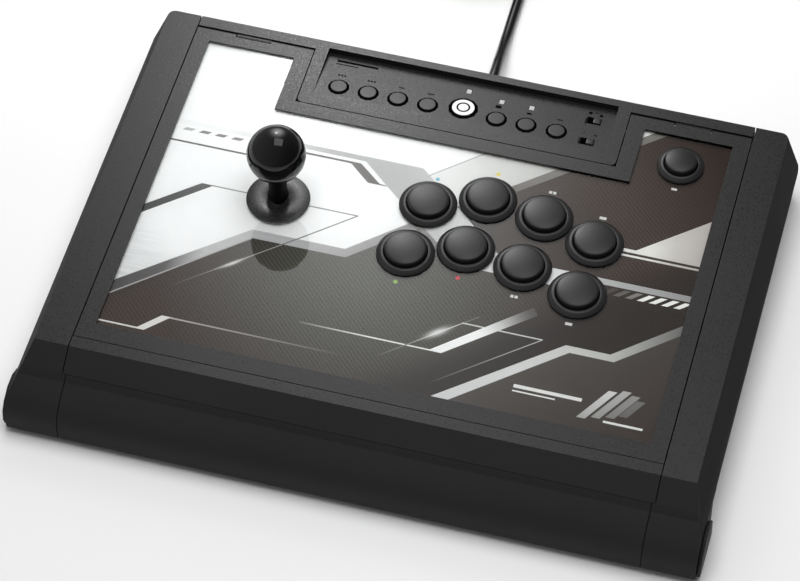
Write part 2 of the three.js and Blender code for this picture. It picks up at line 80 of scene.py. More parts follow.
# ------------------------------------------------------------------ materials
class Mat:
    """A node material. Sockets may be given a number, a colour or another node's output."""

    def __init__(self, name):
        self.m = bpy.data.materials.new(name)
        self.m.use_nodes = True
        self.t = self.m.node_tree
        self.t.nodes.clear()
        self.out = self.t.nodes.new("ShaderNodeOutputMaterial")
        self._obj = None

    def node(self, kind, **props):
        n = self.t.nodes.new(kind)
        for k, v in props.items():
            setattr(n, k, v)
        return n

    def put(self, socket, value):
        if hasattr(value, "node") and hasattr(value, "links"):
            self.t.links.new(value, socket)
        elif value is not None:
            if hasattr(socket.default_value, "__len__"):
                value = list(value)
                if len(socket.default_value) == 4 and len(value) == 3:
                    value.append(1.0)
            socket.default_value = value

    @property
    def obj(self):
        if self._obj is None:
            self._obj = self.node("ShaderNodeTexCoord").outputs["Object"]
        return self._obj

    def mapped(self, scale=(1, 1, 1), rot=(0, 0, 0), loc=(0, 0, 0)):
        n = self.node("ShaderNodeMapping")
        self.put(n.inputs["Vector"], self.obj)
        n.inputs["Scale"].default_value = scale
        n.inputs["Rotation"].default_value = rot
        n.inputs["Location"].default_value = loc
        return n.outputs[0]

    def noise(self, scale, detail=2.0, rough=0.5, vec=None, dist=0.0):
        n = self.node("ShaderNodeTexNoise")
        self.put(n.inputs["Vector"], vec or self.obj)
        n.inputs["Scale"].default_value = scale
        n.inputs["Detail"].default_value = detail
        n.inputs["Roughness"].default_value = rough
        n.inputs["Distortion"].default_value = dist
        return n.outputs["Fac"]

    def voronoi(self, scale, vec=None, out="Distance"):
        n = self.node("ShaderNodeTexVoronoi")
        self.put(n.inputs["Vector"], vec or self.obj)
        n.inputs["Scale"].default_value = scale
        return n.outputs[out]

    def math(self, op, a, b=None, c=None, clamp=False):
        n = self.node("ShaderNodeMath", operation=op, use_clamp=clamp)
        for i, v in enumerate((a, b, c)):
            if v is not None:
                self.put(n.inputs[i], v)
        return n.outputs[0]

    def range(self, v, a, b, c, d, clamp=True, smooth=False):
        n = self.node("ShaderNodeMapRange", clamp=clamp)
        if smooth:
            n.interpolation_type = "SMOOTHSTEP"
        self.put(n.inputs["Value"], v)
        for key, val in (("From Min", a), ("From Max", b), ("To Min", c), ("To Max", d)):
            n.inputs[key].default_value = val
        return n.outputs["Result"]

    def ramp(self, fac, stops, mode="LINEAR"):
        n = self.node("ShaderNodeValToRGB")
        self.put(n.inputs["Fac"], fac)
        r = n.color_ramp
        r.interpolation = mode
        while len(r.elements) < len(stops):
            r.elements.new(0.5)
        for e, (p, c) in zip(r.elements, stops):
            e.position = p
            e.color = (*c, 1) if hasattr(c, "__len__") else (c, c, c, 1)
        return n.outputs["Color"]

    def mix(self, fac, a, b, blend="MIX"):
        n = self.node("ShaderNodeMix", data_type="RGBA", blend_type=blend)
        self.put(n.inputs[0], fac)
        self.put(n.inputs[6], a)
        self.put(n.inputs[7], b)
        return n.outputs[2]

    def scale(self, colour, factor):
        """colour times a grey factor."""
        return self.mix(1.0, colour, self.ramp(factor, ((0, 0.0), (1, 1.0))), "MULTIPLY")

    def axis(self, direction, start, end, vec=None):
        """0 to 1 along a direction between two distances (metres)."""
        n = self.node("ShaderNodeVectorMath", operation="DOT_PRODUCT")
        self.put(n.inputs[0], vec or self.obj)
        n.inputs[1].default_value = direction
        return self.range(n.outputs["Value"], start, end, 0, 1)

    def bump(self, height, strength, distance, normal=None):
        n = self.node("ShaderNodeBump")
        n.inputs["Strength"].default_value = strength
        n.inputs["Distance"].default_value = distance
        self.put(n.inputs["Height"], height)
        if normal is not None:
            self.put(n.inputs["Normal"], normal)
        return n.outputs[0]

    def shade(self, base, rough, normal=None, metal=0.0, **extra):
        p = self.node("ShaderNodeBsdfPrincipled")
        self.put(p.inputs["Base Color"], base)
        self.put(p.inputs["Roughness"], rough)
        p.inputs["Metallic"].default_value = metal
        if normal is not None:
            self.put(p.inputs["Normal"], normal)
        for k, v in extra.items():
            self.put(p.inputs[k], v)
        self.t.links.new(p.outputs[0], self.out.inputs["Surface"])
        return self.m


def grey(v):
    return (v, v, v * 1.01)


def plastic(name, colour, rough, grain=2200.0, depth=0.00006, strength=0.35, spread=0.12, cloud=0.05, spec=0.5, rough_spread=0.05):
    """Moulded plastic: fine spark-eroded grain in the height and the colour, soft clouding, roughness that varies with both."""
    m = Mat(name)
    fine = m.noise(grain, 3.0, 0.6)
    pits = m.voronoi(grain * 0.55)
    soft = m.noise(14.0, 3.0, 0.55)
    tone = m.math("ADD", m.range(fine, 0.25, 0.75, 1 - spread, 1 + spread), m.range(soft, 0.3, 0.7, -cloud, cloud))
    col = m.node("ShaderNodeVectorMath", operation="SCALE")
    col.inputs[0].default_value = colour
    m.put(col.inputs["Scale"], tone)
    r = m.math("ADD", m.range(fine, 0.3, 0.7, rough - rough_spread, rough + rough_spread), m.range(soft, 0.3, 0.7, -0.02, 0.02))
    height = m.math("ADD", m.math("MULTIPLY", fine, 0.7), m.math("MULTIPLY", pits, 0.5))
    mat = m.shade(col.outputs[0], r, m.bump(height, strength, depth))
    p = [n for n in m.t.nodes if n.type == "BSDF_PRINCIPLED"][0]
    p.inputs["Specular IOR Level"].default_value = spec
    return mat


def metal(name, colour, rough, brushed=None, spread=0.06):
    m = Mat(name)
    vec = m.mapped(scale=brushed) if brushed else m.obj
    streak = m.noise(260.0 if brushed else 900.0, 4.0, 0.65, vec)
    soft = m.noise(22.0, 2.0)
    tone = m.math("ADD", m.range(streak, 0.2, 0.8, 1 - spread, 1 + spread), m.range(soft, 0.3, 0.7, -0.03, 0.03))
    col = m.node("ShaderNodeVectorMath", operation="SCALE")
    col.inputs[0].default_value = colour
    m.put(col.inputs["Scale"], tone)
    r = m.range(streak, 0.2, 0.8, max(0.02, rough - 0.08), rough + 0.08)
    return m.shade(col.outputs[0], r, m.bump(streak, 0.12, 0.00002), metal=1.0)


def gloss(name, colour, rough=0.03, spread=0.01, spec=0.5):
    """Polished black plastic: near mirror, with hair-fine rubbing marks and a trace of orange peel."""
    m = Mat(name)
    marks = m.noise(420.0, 4.0, 0.7, m.mapped(scale=(1, 0.08, 1), rot=(0.3, 0.2, 0.9)))
    peel = m.noise(160.0, 2.0)
    col = m.mix(m.range(marks, 0.3, 0.7, 0, 1), colour, tuple(c * 1.25 + 0.0004 for c in colour))
    r = m.range(marks, 0.45, 0.8, rough, rough + spread)
    mat = m.shade(col, r, m.bump(peel, 0.03, 0.00002))
    p = [n for n in m.t.nodes if n.type == "BSDF_PRINCIPLED"][0]
    p.inputs["Specular IOR Level"].default_value = spec
    return mat


CASE = plastic("case_plastic", (0.0115, 0.0115, 0.0117), 0.355, grain=1150, strength=0.55, spread=0.45, depth=0.00010, rough_spread=0.13)
# duller copies of the case plastic for front-facing faces and outer side walls, so that they render darker: painted
# shade
FRONT_PAINTED_SHADE = plastic("front_plastic", (0.0205, 0.0205, 0.0208), 0.60, spec=0.14, grain=1900, strength=0.3, spread=0.10)
SIDE_PAINTED_SHADE = plastic("side_plastic_painted_shade", (0.0150, 0.0150, 0.0152), 0.70, grain=1000, strength=0.4, spread=0.12, spec=0.08)
TRAY = plastic("tray_plastic", (0.010, 0.010, 0.0105), 0.62, grain=1300, strength=0.5)
# near-black plastic for gap walls, the strip's left end wall and the sides of the strip caps: painted shade
GAP_PAINTED_SHADE = plastic("gap_plastic_painted_shade", (0.006, 0.006, 0.006), 0.7)
BUTTON = plastic("button_plastic", (0.0170, 0.0170, 0.0172), 0.36, grain=1300, strength=0.30, spread=0.20, depth=0.00007)
CAP = plastic("cap_plastic", (0.0120, 0.0120, 0.0122), 0.34, grain=1300, strength=0.32, spread=0.22, depth=0.00008)
HOUSING = plastic("lever_housing", (0.025, 0.025, 0.026), 0.5)
SMALLCAP = plastic("small_cap_plastic", (0.019, 0.019, 0.0192), 0.37, grain=1150, strength=0.45, spread=0.35, depth=0.00009, rough_spread=0.1)
BALL = gloss("gloss_black_ball", (0.0028, 0.0028, 0.0030), 0.02, 0.012)
SLEEVE = plastic("black_sleeve", (0.0022, 0.0022, 0.0024), 0.42, grain=1500, strength=0.1, spec=0.10)
WASHER = plastic("black_washer", (0.026, 0.026, 0.0265), 0.30, grain=1150, strength=0.45, spread=0.45, depth=0.00009, rough_spread=0.12)
HOME_WHITE = plastic("home_white", (0.80, 0.80, 0.81), 0.3, grain=2400, strength=0.1, spread=0.02, cloud=0.02)
LIGHT_GUIDE = plastic("light_guide", (0.42, 0.42, 0.43), 0.35, grain=1800, strength=0.2, spread=0.03)
INK = plastic("ink_black", (0.003, 0.003, 0.003), 0.85, grain=3000, strength=0.1, spec=0.03)
INK_GREY = plastic("ink_grey", (0.010, 0.010, 0.010), 0.85, grain=3000, strength=0.1, spec=0.06)
RUBBER = plastic("foot_rubber", (0.016, 0.016, 0.016), 0.85, grain=900, strength=0.8, depth=0.0001)
JACKET = plastic("cable_jacket", (0.0060, 0.0060, 0.0063), 0.22, grain=1400, strength=0.15, spread=0.08)
PLUG_BODY = plastic("plug_body", (0.012, 0.012, 0.0125), 0.45, grain=1500, strength=0.3)
SHINY = metal("lever_steel", (0.62, 0.62, 0.63), 0.18)
PLATE = metal("plate_steel", (0.30, 0.30, 0.31), 0.36, brushed=(1, 0.04, 1))
SPRING = metal("spring_steel", (0.50, 0.50, 0.52), 0.25, brushed=(1, 1, 0.2))
PLUG_METAL = metal("plug_steel", (0.60, 0.60, 0.61), 0.22, brushed=(0.06, 1, 1))
GOLD = metal("contact_gold", (0.75, 0.52, 0.20), 0.25)
TONGUE = plastic("plug_tongue", (0.015, 0.015, 0.016), 0.4)
ACETAL = plastic("pivot_acetal", (0.52, 0.50, 0.45), 0.38, grain=1200, strength=0.15, spread=0.03)


def board_material():
    m = Mat("circuit_board")
    weave = m.node("ShaderNodeTexWave", wave_type="BANDS", bands_direction="X")
    m.put(weave.inputs["Vector"], m.mapped(scale=(1, 1, 0)))
    weave.inputs["Scale"].default_value = 420
    weave2 = m.node("ShaderNodeTexWave", wave_type="BANDS", bands_direction="Y")
    m.put(weave2.inputs["Vector"], m.mapped(scale=(1, 1, 0)))
    weave2.inputs["Scale"].default_value = 420
    brick = m.node("ShaderNodeTexBrick")
    m.put(brick.inputs["Vector"], m.mapped(scale=(1, 1, 0)))
    brick.inputs["Scale"].default_value = 95
    brick.inputs["Mortar Size"].default_value = 0.06
    base = m.mix(brick.outputs["Fac"], (0.012, 0.075, 0.035), (0.022, 0.13, 0.06))
    base = m.mix(m.range(m.noise(180, 3), 0.35, 0.65, 0, 0.35), base, (0.008, 0.05, 0.024))
    h = m.math("ADD", m.math("MULTIPLY", weave.outputs["Fac"], weave2.outputs["Fac"]), brick.outputs["Fac"])
    return m.shade(base, m.range(m.noise(300, 2), 0.3, 0.7, 0.28, 0.42), m.bump(h, 0.25, 0.00003))


BOARD = board_material()


# ------------------------------------------------------------------ mesh helpers
def new_object(name, mesh, mats):
    for mt in mats:
        mesh.materials.append(mt)
    o = bpy.data.objects.new(name, mesh)
    SCENE.collection.objects.link(o)
    return o


def smooth(mesh, angle=34.0):
    mesh.polygons.foreach_set("use_smooth", [True] * len(mesh.polygons))
    mesh.update()
    mesh.set_sharp_from_angle(angle=math.radians(angle))


def applied(o):
    """Turns the object's modifiers into mesh."""
    deps = bpy.context.evaluated_depsgraph_get()
    deps.update()
    done = bpy.data.meshes.new_from_object(o.evaluated_get(deps), depsgraph=deps)
    old = o.data
    o.modifiers.clear()
    o.data = done
    bpy.data.meshes.remove(old)
    return o


def refined(node, name, mats, width=0.5, segments=3, angle=25, pick=None):
    """A CAD shell with moulded edges: coplanar faces are joined, then each real edge gets a small radius."""
    bm = bmesh.new()
    bm.from_mesh(NODES[node].data)
    bmesh.ops.remove_doubles(bm, verts=bm.verts, dist=4e-6)
    bmesh.ops.dissolve_limit(bm, angle_limit=math.radians(0.8), verts=bm.verts, edges=bm.edges)
    for f in bm.faces:
        f.smooth = True
    mesh = bpy.data.meshes.new(name)
    bm.to_mesh(mesh)
    bm.free()
    o = new_object(name, mesh, mats)
    b = o.modifiers.new("bevel", "BEVEL")
    b.width = width * MM
    b.segments = segments
    b.limit_method = "ANGLE"
    b.angle_limit = math.radians(angle)
    b.use_clamp_overlap = True
    b.harden_normals = False
    b.miter_outer = "MITER_SHARP"
    applied(o)
    bm = bmesh.new()
    bm.from_mesh(o.data)
    bmesh.ops.triangulate(bm, faces=[f for f in bm.faces if len(f.verts) > 4])
    bm.to_mesh(o.data)
    bm.free()
    smooth(o.data, 40)
    wn = o.modifiers.new("normals", "WEIGHTED_NORMAL")
    wn.keep_sharp = True
    wn.weight = 80
    applied(o)
    if pick is not None:
        for p in o.data.polygons:
            p.material_index = pick(p.center, p.normal)
    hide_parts(node)
    return o


def lathe(name, profile, centre, mats, segments=96, axis="Z", matrix=None, pick=None, angle=34, closed=False):
    """Turned piece: profile points are (radius, height) in mm."""
    bm = bmesh.new()
    rings = []
    for r, z in profile:
        if r < 1e-6:
            rings.append([bm.verts.new((0, 0, z * MM))])
        else:
            rings.append([bm.verts.new((r * MM * math.cos(2 * math.pi * i / segments), r * MM * math.sin(2 * math.pi * i / segments), z * MM)) for i in range(segments)])
    pairs = list(zip(rings, rings[1:]))
    if closed:
        pairs.append((rings[-1], rings[0]))
    for a, b in pairs:
        for i in range(segments):
            j = (i + 1) % segments
            if len(a) == 1 and len(b) == 1:
                continue
            if len(a) == 1:
                bm.faces.new((a[0], b[j], b[i]))
            elif len(b) == 1:
                bm.faces.new((a[i], a[j], b[0]))
            else:
                bm.faces.new((a[i], a[j], b[j], b[i]))
    bmesh.ops.recalc_face_normals(bm, faces=bm.faces)
    if axis == "Y":
        bmesh.ops.transform(bm, matrix=Matrix.Rotation(-math.pi / 2, 4, "X"), verts=bm.verts)
    if matrix is not None:
        bmesh.ops.transform(bm, matrix=matrix, verts=bm.verts)
    bmesh.ops.translate(bm, vec=Vector(centre) * MM, verts=bm.verts)
    mesh = bpy.data.meshes.new(name)
    bm.to_mesh(mesh)
    bm.free()
    smooth(mesh, angle)
    o = new_object(name, mesh, mats)
    if pick is not None:
        for p in o.data.polygons:
            p.material_index = pick(p.center, p.normal)
    return o


def arc(cx, cy, r, a0, a1, n):
    """Points on an arc, degrees."""
    return [(cx + r * math.cos(math.radians(a0 + (a1 - a0) * i / n)), cy + r * math.sin(math.radians(a0 + (a1 - a0) * i / n))) for i in range(n + 1)]


def rounded_box(bm, x0, x1, y0, y1, z0, z1, r=0.4, segs=3):
    """A block with rounded edges added to bm, mm."""
    geo = bmesh.ops.create_cube(bm, size=1.0)
    verts = geo["verts"]
    bmesh.ops.scale(bm, vec=((x1 - x0) * MM, (y1 - y0) * MM, (z1 - z0) * MM), verts=verts)
    bmesh.ops.translate(bm, vec=(((x0 + x1) / 2) * MM, ((y0 + y1) / 2) * MM, ((z0 + z1) / 2) * MM), verts=verts)
    edges = {e for v in verts for e in v.link_edges}
    out = bmesh.ops.bevel(bm, geom=list(edges), offset=r * MM, segments=segs, profile=0.5, affect="EDGES", clamp_overlap=True)
    faces = {f for f in out["faces"]}
    for f in list(faces):
        for v in f.verts:
            faces.update(v.link_faces)
    return faces


def from_bm(bm, name, mats, angle=34):
    mesh = bpy.data.meshes.new(name)
    bmesh.ops.recalc_face_normals(bm, faces=bm.faces)
    bm.to_mesh(mesh)
    bm.free()
    smooth(mesh, angle)
    return new_object(name, mesh, mats)


def ride(o, body):
    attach(o, body)
    return o


def paint(node, mat):
    o = NODES[node]
    o.data.materials.clear()
    o.data.materials.append(mat)


# ------------------------------------------------------------------ cable, strain relief and plug
def catmull(points, per):
    pts = [Vector(p) for p in points]
    pts = [pts[0] * 2 - pts[1]] + pts + [pts[-1] * 2 - pts[-2]]
    out = []
    for i in range(1, len(pts) - 2):
        a, b, c, d = pts[i - 1:i + 3]
        for k in range(per):
            t = k / per
            out.append(0.5 * ((2 * b) + (c - a) * t + (2 * a - 5 * b + 4 * c - d) * t * t + (3 * b - a - 3 * c + d) * t ** 3))
    out.append(pts[-2].copy())
    return out


def cable_route():
    lead = [(5, 175.2, 14), (5, 178.5, 13.85), (4.85, 184, 13.1), (4.55, 190, 11.85), (4.2, 197, 9.8), (3.8, 204, 7.55), (3.35, 211, 5.65),
            (3.1, 218, 4.35), (2.9, 226, 3.65), (2.75, 235, 3.42), (2.65, 246, 3.4), (2.6, 260, 3.4), (2.6, 276, 3.4), (2.6, 292, 3.4)]
    r = [40.8, 34.0, 27.2]
    z = [3.4, 10.2, 17.0, 23.8]
    ease = lambda t: t * t * (3 - 2 * t)
    # each leg: (start angle, end angle, r0, r1, z0, z1)
    legs = []

    def inward(a, layer):
        for k in range(2):
            legs.append((a, a + 270 - a % 360, r[k], r[k], z[layer], z[layer]))
            a += 270 - a % 360
            legs.append((a, a + 90, r[k], r[k + 1], z[layer], z[layer]))
            a += 90
        legs.append((a, a + 180, r[2], r[2], z[layer], z[layer]))
        a += 180
        legs.append((a, a + 90, r[2], r[2], z[layer], z[layer + 1]))
        return a + 90

    def outward(a, layer, last):
        for k in range(2):
            run = (90 - a % 360) % 360
            legs.append((a, a + run, r[2 - k], r[2 - k], z[layer], z[layer]))
            a += run
            legs.append((a, a + 90, r[2 - k], r[1 - k], z[layer], z[layer]))
            a += 90
        if last:
            legs.append((a, a + 90, r[0], r[0], z[layer], z[layer]))
            legs.append((a + 90, a + 180, r[0], 38.2, z[layer], 30.6))
            return a + 180
        legs.append((a, a + 180, r[0], r[0], z[layer], z[layer]))
        a += 180
        legs.append((a, a + 90, r[0], r[0], z[layer], z[layer + 1]))
        return a + 90

    a = inward(0, 0)
    a = outward(a, 1, False)
    a = inward(a, 2)
    a = outward(a, 3, True)
    pts = list(lead)
    for a0, a1, r0, r1, z0, z1 in legs:
        n = max(2, round((a1 - a0) / 18))
        for i in range(n):
            t = i / n
            ang = math.radians(a0 + (a1 - a0) * t)
            rr = r0 + (r1 - r0) * ease(t)
            pts.append((COIL[0] + rr * math.cos(ang), COIL[1] + rr * math.sin(ang), z0 + (z1 - z0) * ease(t)))
    # last bend over the top turns and into the plug
    for i in range(0, 7):
        ang = math.radians(90 * i / 6)
        pts.append((-22 + 22 * math.cos(ang), 304 + 22 * math.sin(ang), 30.6 + 0.85 * ease(i / 6)))
    pts[-1] = (-25.0, 326, 31.45)
    return pts


route = cable_route()
curve = bpy.data.curves.new("usb_cable", "CURVE")
curve.dimensions = "3D"
curve.bevel_depth = 3.3 * MM
curve.bevel_resolution = 4
curve.resolution_u = 6
curve.use_fill_caps = True
sp = curve.splines.new("BEZIER")
sp.bezier_points.add(len(route) - 1)
for bp, p in zip(sp.bezier_points, route):
    bp.co = Vector(p) * MM
    bp.handle_left_type = bp.handle_right_type = "AUTO"
curve.materials.append(JACKET)
cable = bpy.data.objects.new("usb_cable", curve)
SCENE.collection.objects.link(cable)
ride(cable, "root")
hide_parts("cable_lead", "cable_coil")


def spline_length(o):
    deps = bpy.context.evaluated_depsgraph_get()
    c = o.data.copy()
    c.bevel_depth = 0
    tmp = bpy.data.objects.new("measure", c)
    SCENE.collection.objects.link(tmp)
    deps.update()
    m = tmp.evaluated_get(deps).to_mesh()
    v = [x.co.copy() for x in m.vertices]
    total = sum((b - a).length for a, b in zip(v, v[1:]))
    tmp.evaluated_get(deps).to_mesh_clear()
    bpy.data.objects.remove(tmp)
    bpy.data.curves.remove(c)
    return total


cable_length = spline_length(cable)
print("cable length", round(cable_length, 4))

# strain relief: flange, then a tapered sleeve with five cut ribs
relief = [(0, 0), (5.3, 0), (5.6, 0.3), (5.6, 3.7), (5.4, 4.0), (5.2, 4.2), (5.0, 4.7), (4.9, 6.5), (4.85, 8.6)]
y, rr = 8.6, 4.8
for i in range(5):
    r1 = 4.8 - 0.15 * (i + 1)
    relief += [(rr - 0.02, y + 0.3), (rr - 0.55, y + 0.7), (rr - 0.6, y + 1.5), (r1 + 0.02, y + 1.9), (r1, y + 3.6)]
    rr, y = r1, y + 3.6
relief += [(4.0, 27.4), (3.9, 29.4), (3.8, 29.8), (3.5, 30.0), (0, 30.0)]
strain = lathe("strain_relief_sleeve", relief, (5, 145.2, 14), [JACKET], segments=48, axis="Y")
ride(strain, "root")
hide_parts("strain_relief")

# USB plug: overmould with grip ribs, folded steel shell, tongue with four contacts
bm = bmesh.new()
faces = rounded_box(bm, -51.9, -22.2, 306.1, 317.9, 20.75, 28.65, 1.5, 4)
for i in range(6):
    x = -45.5 + i * 2.2
    rounded_box(bm, x, x + 1.1, 305.95, 318.0, 22.4, 27.0, 0.3, 2)
rounded_box(bm, -24.6, -22.05, 308.6, 315.4, 21.4, 28.0, 1.2, 3)
on_coil = Vector((-3.2, 14.0, 6.75)) * MM
bmesh.ops.translate(bm, vec=on_coil, verts=bm.verts)
plug = from_bm(bm, "usb_plug_overmould", [PLUG_BODY])
ride(plug, "root")
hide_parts("usb_plug")
bm = bmesh.new()
outer_pts, inner_pts = [], []
w2, h2, t = 6.0, 2.25, 0.32
for (sx, sz, a0) in ((1, 1, 0), (-1, 1, 90), (-1, -1, 180), (1, -1, 270)):
    for i in range(4):
        a = math.radians(a0 + 30 * i)
        outer_pts.append((312 + sx * (w2 - 0.6) + 0.6 * math.cos(a), 24.65 + sz * (h2 - 0.6) + 0.6 * math.sin(a)))
        inner_pts.append((312 + sx * (w2 - 0.6) + (0.6 - t) * math.cos(a), 24.65 + sz * (h2 - 0.6) + (0.6 - t) * math.sin(a)))
ring_sets = []
for pts2, x in ((outer_pts, -51.0), (outer_pts, -65.8), (outer_pts, -65.95), (inner_pts, -65.95), (inner_pts, -65.8), (inner_pts, -51.0)):
    ring_sets.append([bm.verts.new((x * MM, p[0] * MM, p[1] * MM)) for p in pts2])
ring_sets.append(ring_sets[0])
for a, b in zip(ring_sets, ring_sets[1:]):
    for i in range(len(a)):
        j = (i + 1) % len(a)
        bm.faces.new((a[i], a[j], b[j], b[i]))
bmesh.ops.translate(bm, vec=on_coil, verts=bm.verts)
shell = from_bm(bm, "usb_plug_shell", [PLUG_METAL], 50)
ride(shell, "root")
bm = bmesh.new()
rounded_box(bm, -64.9, -51.2, 306.9, 317.1, 22.9, 24.5, 0.15, 2)
for i, yy in enumerate((308.5, 310.8, 313.2, 315.5)):
    before = set(bm.faces)
    rounded_box(bm, -64.4, -53.0, yy - 0.5, yy + 0.5, 24.45, 24.6, 0.04, 1)
    for f in set(bm.faces) - before:
        f.material_index = 1
bmesh.ops.translate(bm, vec=on_coil, verts=bm.verts)
tongue = from_bm(bm, "usb_plug_tongue", [TONGUE, GOLD])
ride(tongue, "root")

# ------------------------------------------------------------------ case shells
def case_or_painted_shade(c, n):
    """The front leg and front face, and the outer side walls, get duller copies of the case plastic that render darker
    there: painted shade.
    """
    if c.y < -0.1150 and c.z < 0.0470:
        return 1
    return 2 if abs(n.x) > 0.8 and abs(c.x) > 0.170 else 0


def deck_painted_shade(c, n):
    """Walls of the openings in the strip, and its left end wall, get near-black plastic: painted shade in the gaps and
    the recess.
    """
    x, y = c.x / MM, c.y / MM
    if abs(n.z) < 0.75 and c.z > 0.030 and y > STRIP_FRONT_Y - 1:
        if any(math.hypot(x - a, y - SMALL_Y) < 6.7 for a in SMALL.values()) or math.hypot(x - HOME[0], y - HOME[1]) < 9.3:
            return 3
        if any(abs(x - a) < 4.7 and abs(y - b) < 3.2 for a, b in SWITCHES) or (n.x > 0.8 and -92.5 < x < -90.0):
            return 3
    return case_or_painted_shade(c, n)


for node, name in (("left_side_cover", "side_shell_left"), ("right_side_cover", "side_shell_right")):
    # the front leg, front face and outer side walls take the painted-shade copies of the case plastic
    ride(refined(node, name, [CASE, FRONT_PAINTED_SHADE, SIDE_PAINTED_SHADE], 0.9, 4, pick=case_or_painted_shade), "root")
# the strip's opening walls and left end wall take the near-black plastic: painted shade
ride(refined("top_frame", "deck_shell", [CASE, FRONT_PAINTED_SHADE, SIDE_PAINTED_SHADE, GAP_PAINTED_SHADE], 0.28, 3, pick=deck_painted_shade), "root")
# the front cover and the end plates take the painted-shade front copy of the case plastic
ride(refined("front_cover", "front_shell", [FRONT_PAINTED_SHADE], 0.5, 3), "root")
ride(refined("base_tray", "base_shell", [TRAY], 0.5, 2), "root")
ride(refined("left_end_plate", "end_badge_left", [FRONT_PAINTED_SHADE], 0.8, 4), "root")
ride(refined("right_end_plate", "end_badge_right", [FRONT_PAINTED_SHADE], 0.8, 4), "root")
ride(refined("lid_frame", "lid_bezel", [CASE], 0.45, 3), "lid")

# ------------------------------------------------------------------ rubber strips with cross grooves
for node, name, y0, y1 in (("foot_strip_front", "foot_front", -137, -121), ("foot_strip_rear", "foot_rear", 118, 134)):
    bm = bmesh.new()
    n = 55
    for i in range(n):
        x0 = -165 + 330 * i / n
        x1 = -165 + 330 * (i + 1) / n
        inset = 3.0 if i in (0, n - 1) else 0.0
        rounded_box(bm, x0 + 0.35, x1 - 0.35, y0 + inset * 0.4, y1 - inset * 0.4, 0.02, 1.6, 0.35, 2)
    rounded_box(bm, -165, 165, y0 + 0.4, y1 - 0.4, 0.9, 2.2, 0.4, 2)
    foot = from_bm(bm, name, [RUBBER])
    ride(foot, "root")
    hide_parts(node)

# ------------------------------------------------------------------ push buttons
def button(key, x, y, rim, barrel, bore, floor_z, cap_r, cap_low, cap_edge, body_node, cap_node, cap_body):
    prof = [(0, floor_z - 3), (barrel - 0.6, floor_z - 3), (barrel, floor_z - 2.4), (barrel, 36.0), (barrel - 0.5, 36.2), (barrel - 0.5, 37.6),
            (barrel, 37.8), (barrel, 47.4), (rim - 0.2, 47.4), (rim, 47.6), (rim, 47.9), (rim - 0.12, 48.2), (rim - 0.45, 48.55)]
    prof += [(rim - 1.0, 48.95), (rim - 1.6, 49.32), (rim - 2.0, 49.58), (rim - 2.25, 49.74), (rim - 2.5, 49.84), (rim - 2.9, 49.93), (bore + 0.65, 50.02), (bore + 0.3, 49.96), (bore + 0.08, 49.75), (bore, 49.4), (bore, floor_z + 0.4), (bore - 0.4, floor_z), (0, floor_z)]
    body = lathe(f"button_{key}_housing", prof, (x, y, 0), [BUTTON], 112)
    ride(body, "lid")
    # microswitch under the barrel, with its two blades
    bm = bmesh.new()
    rounded_box(bm, x - 9.9, x + 9.9, y - 3.15, y + 3.15, floor_z - 10.9, floor_z - 2.9, 0.4, 2)
    rounded_box(bm, x - 6, x + 6, y - 3.2, y + 3.2, floor_z - 7.0, floor_z - 4.6, 0.2, 1)
    before = set(bm.faces)
    for dx in (-6.0, 6.0):
        rounded_box(bm, x + dx - 0.3, x + dx + 0.3, y - 1.5, y + 1.5, floor_z - 10.99, floor_z - 10.7, 0.05, 1)
    for f in set(bm.faces) - before:
        f.material_index = 1
    sw = from_bm(bm, f"button_{key}_switch", [HOUSING, SHINY])
    ride(sw, "lid")
    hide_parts(body_node)
    r = cap_r
    cap = [(0, cap_low), (r - 0.3, cap_low), (r, cap_low + 0.3), (r, cap_edge - 1.15)]
    cap += arc(r - 1.15, cap_edge - 1.15, 1.15, 8, 72, 6)
    top = cap_edge + 0.9
    z_e = cap[-1][1]
    r_e = cap[-1][0]
    for i in range(1, 11):
        t = i / 10
        rr = r_e * (1 - t)
        cap.append((rr if i < 10 else 0, z_e + (top - z_e) * (1 - (rr / r_e) ** 2) ** 0.9))
    c = lathe(f"button_{key}_plunger", cap, (x, y, 0), [CAP], 112)
    ride(c, cap_body)
    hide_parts(cap_node)


for k, (x, y) in MAIN.items():
    button(k, x, y, 17.35, 14.7, 12.95, 27, 12.5, 33, 53.1, f"button_body_{k}", f"button_cap_{k}", f"cap_{k}")
button("option", *OPTION, 14.1, 11.7, 10.15, 27, 9.7, 33, 53.2, "option_body", "option_cap", "cap_option")

# ------------------------------------------------------------------ lever
lx, ly = LEVER
ball = [(0, 86.0), (3.9, 86.0), (3.9, 72.3)]
a0 = math.asin(4.6 / 17.5)
ball += [(4.3, 72.05)]
for i in range(0, 49):
    a = a0 + (math.pi - a0) * i / 48
    ball.append((0 if i == 48 else 17.5 * math.sin(a), 89.0 - 17.5 * math.cos(a)))
b = lathe("lever_ball", ball, (lx, ly, 0), [BALL], 160, angle=50)
ride(b, "lever")
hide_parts("ball_top")
sleeve = [(3.9, 51.4), (6.0, 51.4), (6.3, 51.6), (6.3, 53.0), (6.15, 53.35), (5.7, 53.7), (5.5, 54.1), (5.5, 71.0), (5.2, 71.6), (3.9, 71.6)]
s = lathe("lever_sleeve", sleeve, (lx, ly, 0), [SLEEVE], 96, closed=True)
ride(s, "lever")
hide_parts("shaft_cover")
w = lathe("lever_dust_washer", [(4.7, 47.8), (18.8, 47.8), (19.0, 47.9), (19.05, 48.1), (18.95, 48.35), (18.7, 48.5), (5.0, 48.5), (4.7, 48.3)], (lx, ly, 0), [WASHER], 144, closed=True)
ride(w, "washer")
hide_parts("dust_washer")
steel = [(0, 8.6), (2.9, 8.6), (3.1, 8.9), (3.1, 10.4), (2.6, 10.6), (2.6, 10.9), (3.5, 11.0), (3.5, 29.6), (3.45, 29.8), (3.5, 30.0), (3.5, 85.2), (3.1, 85.6), (0, 85.6)]
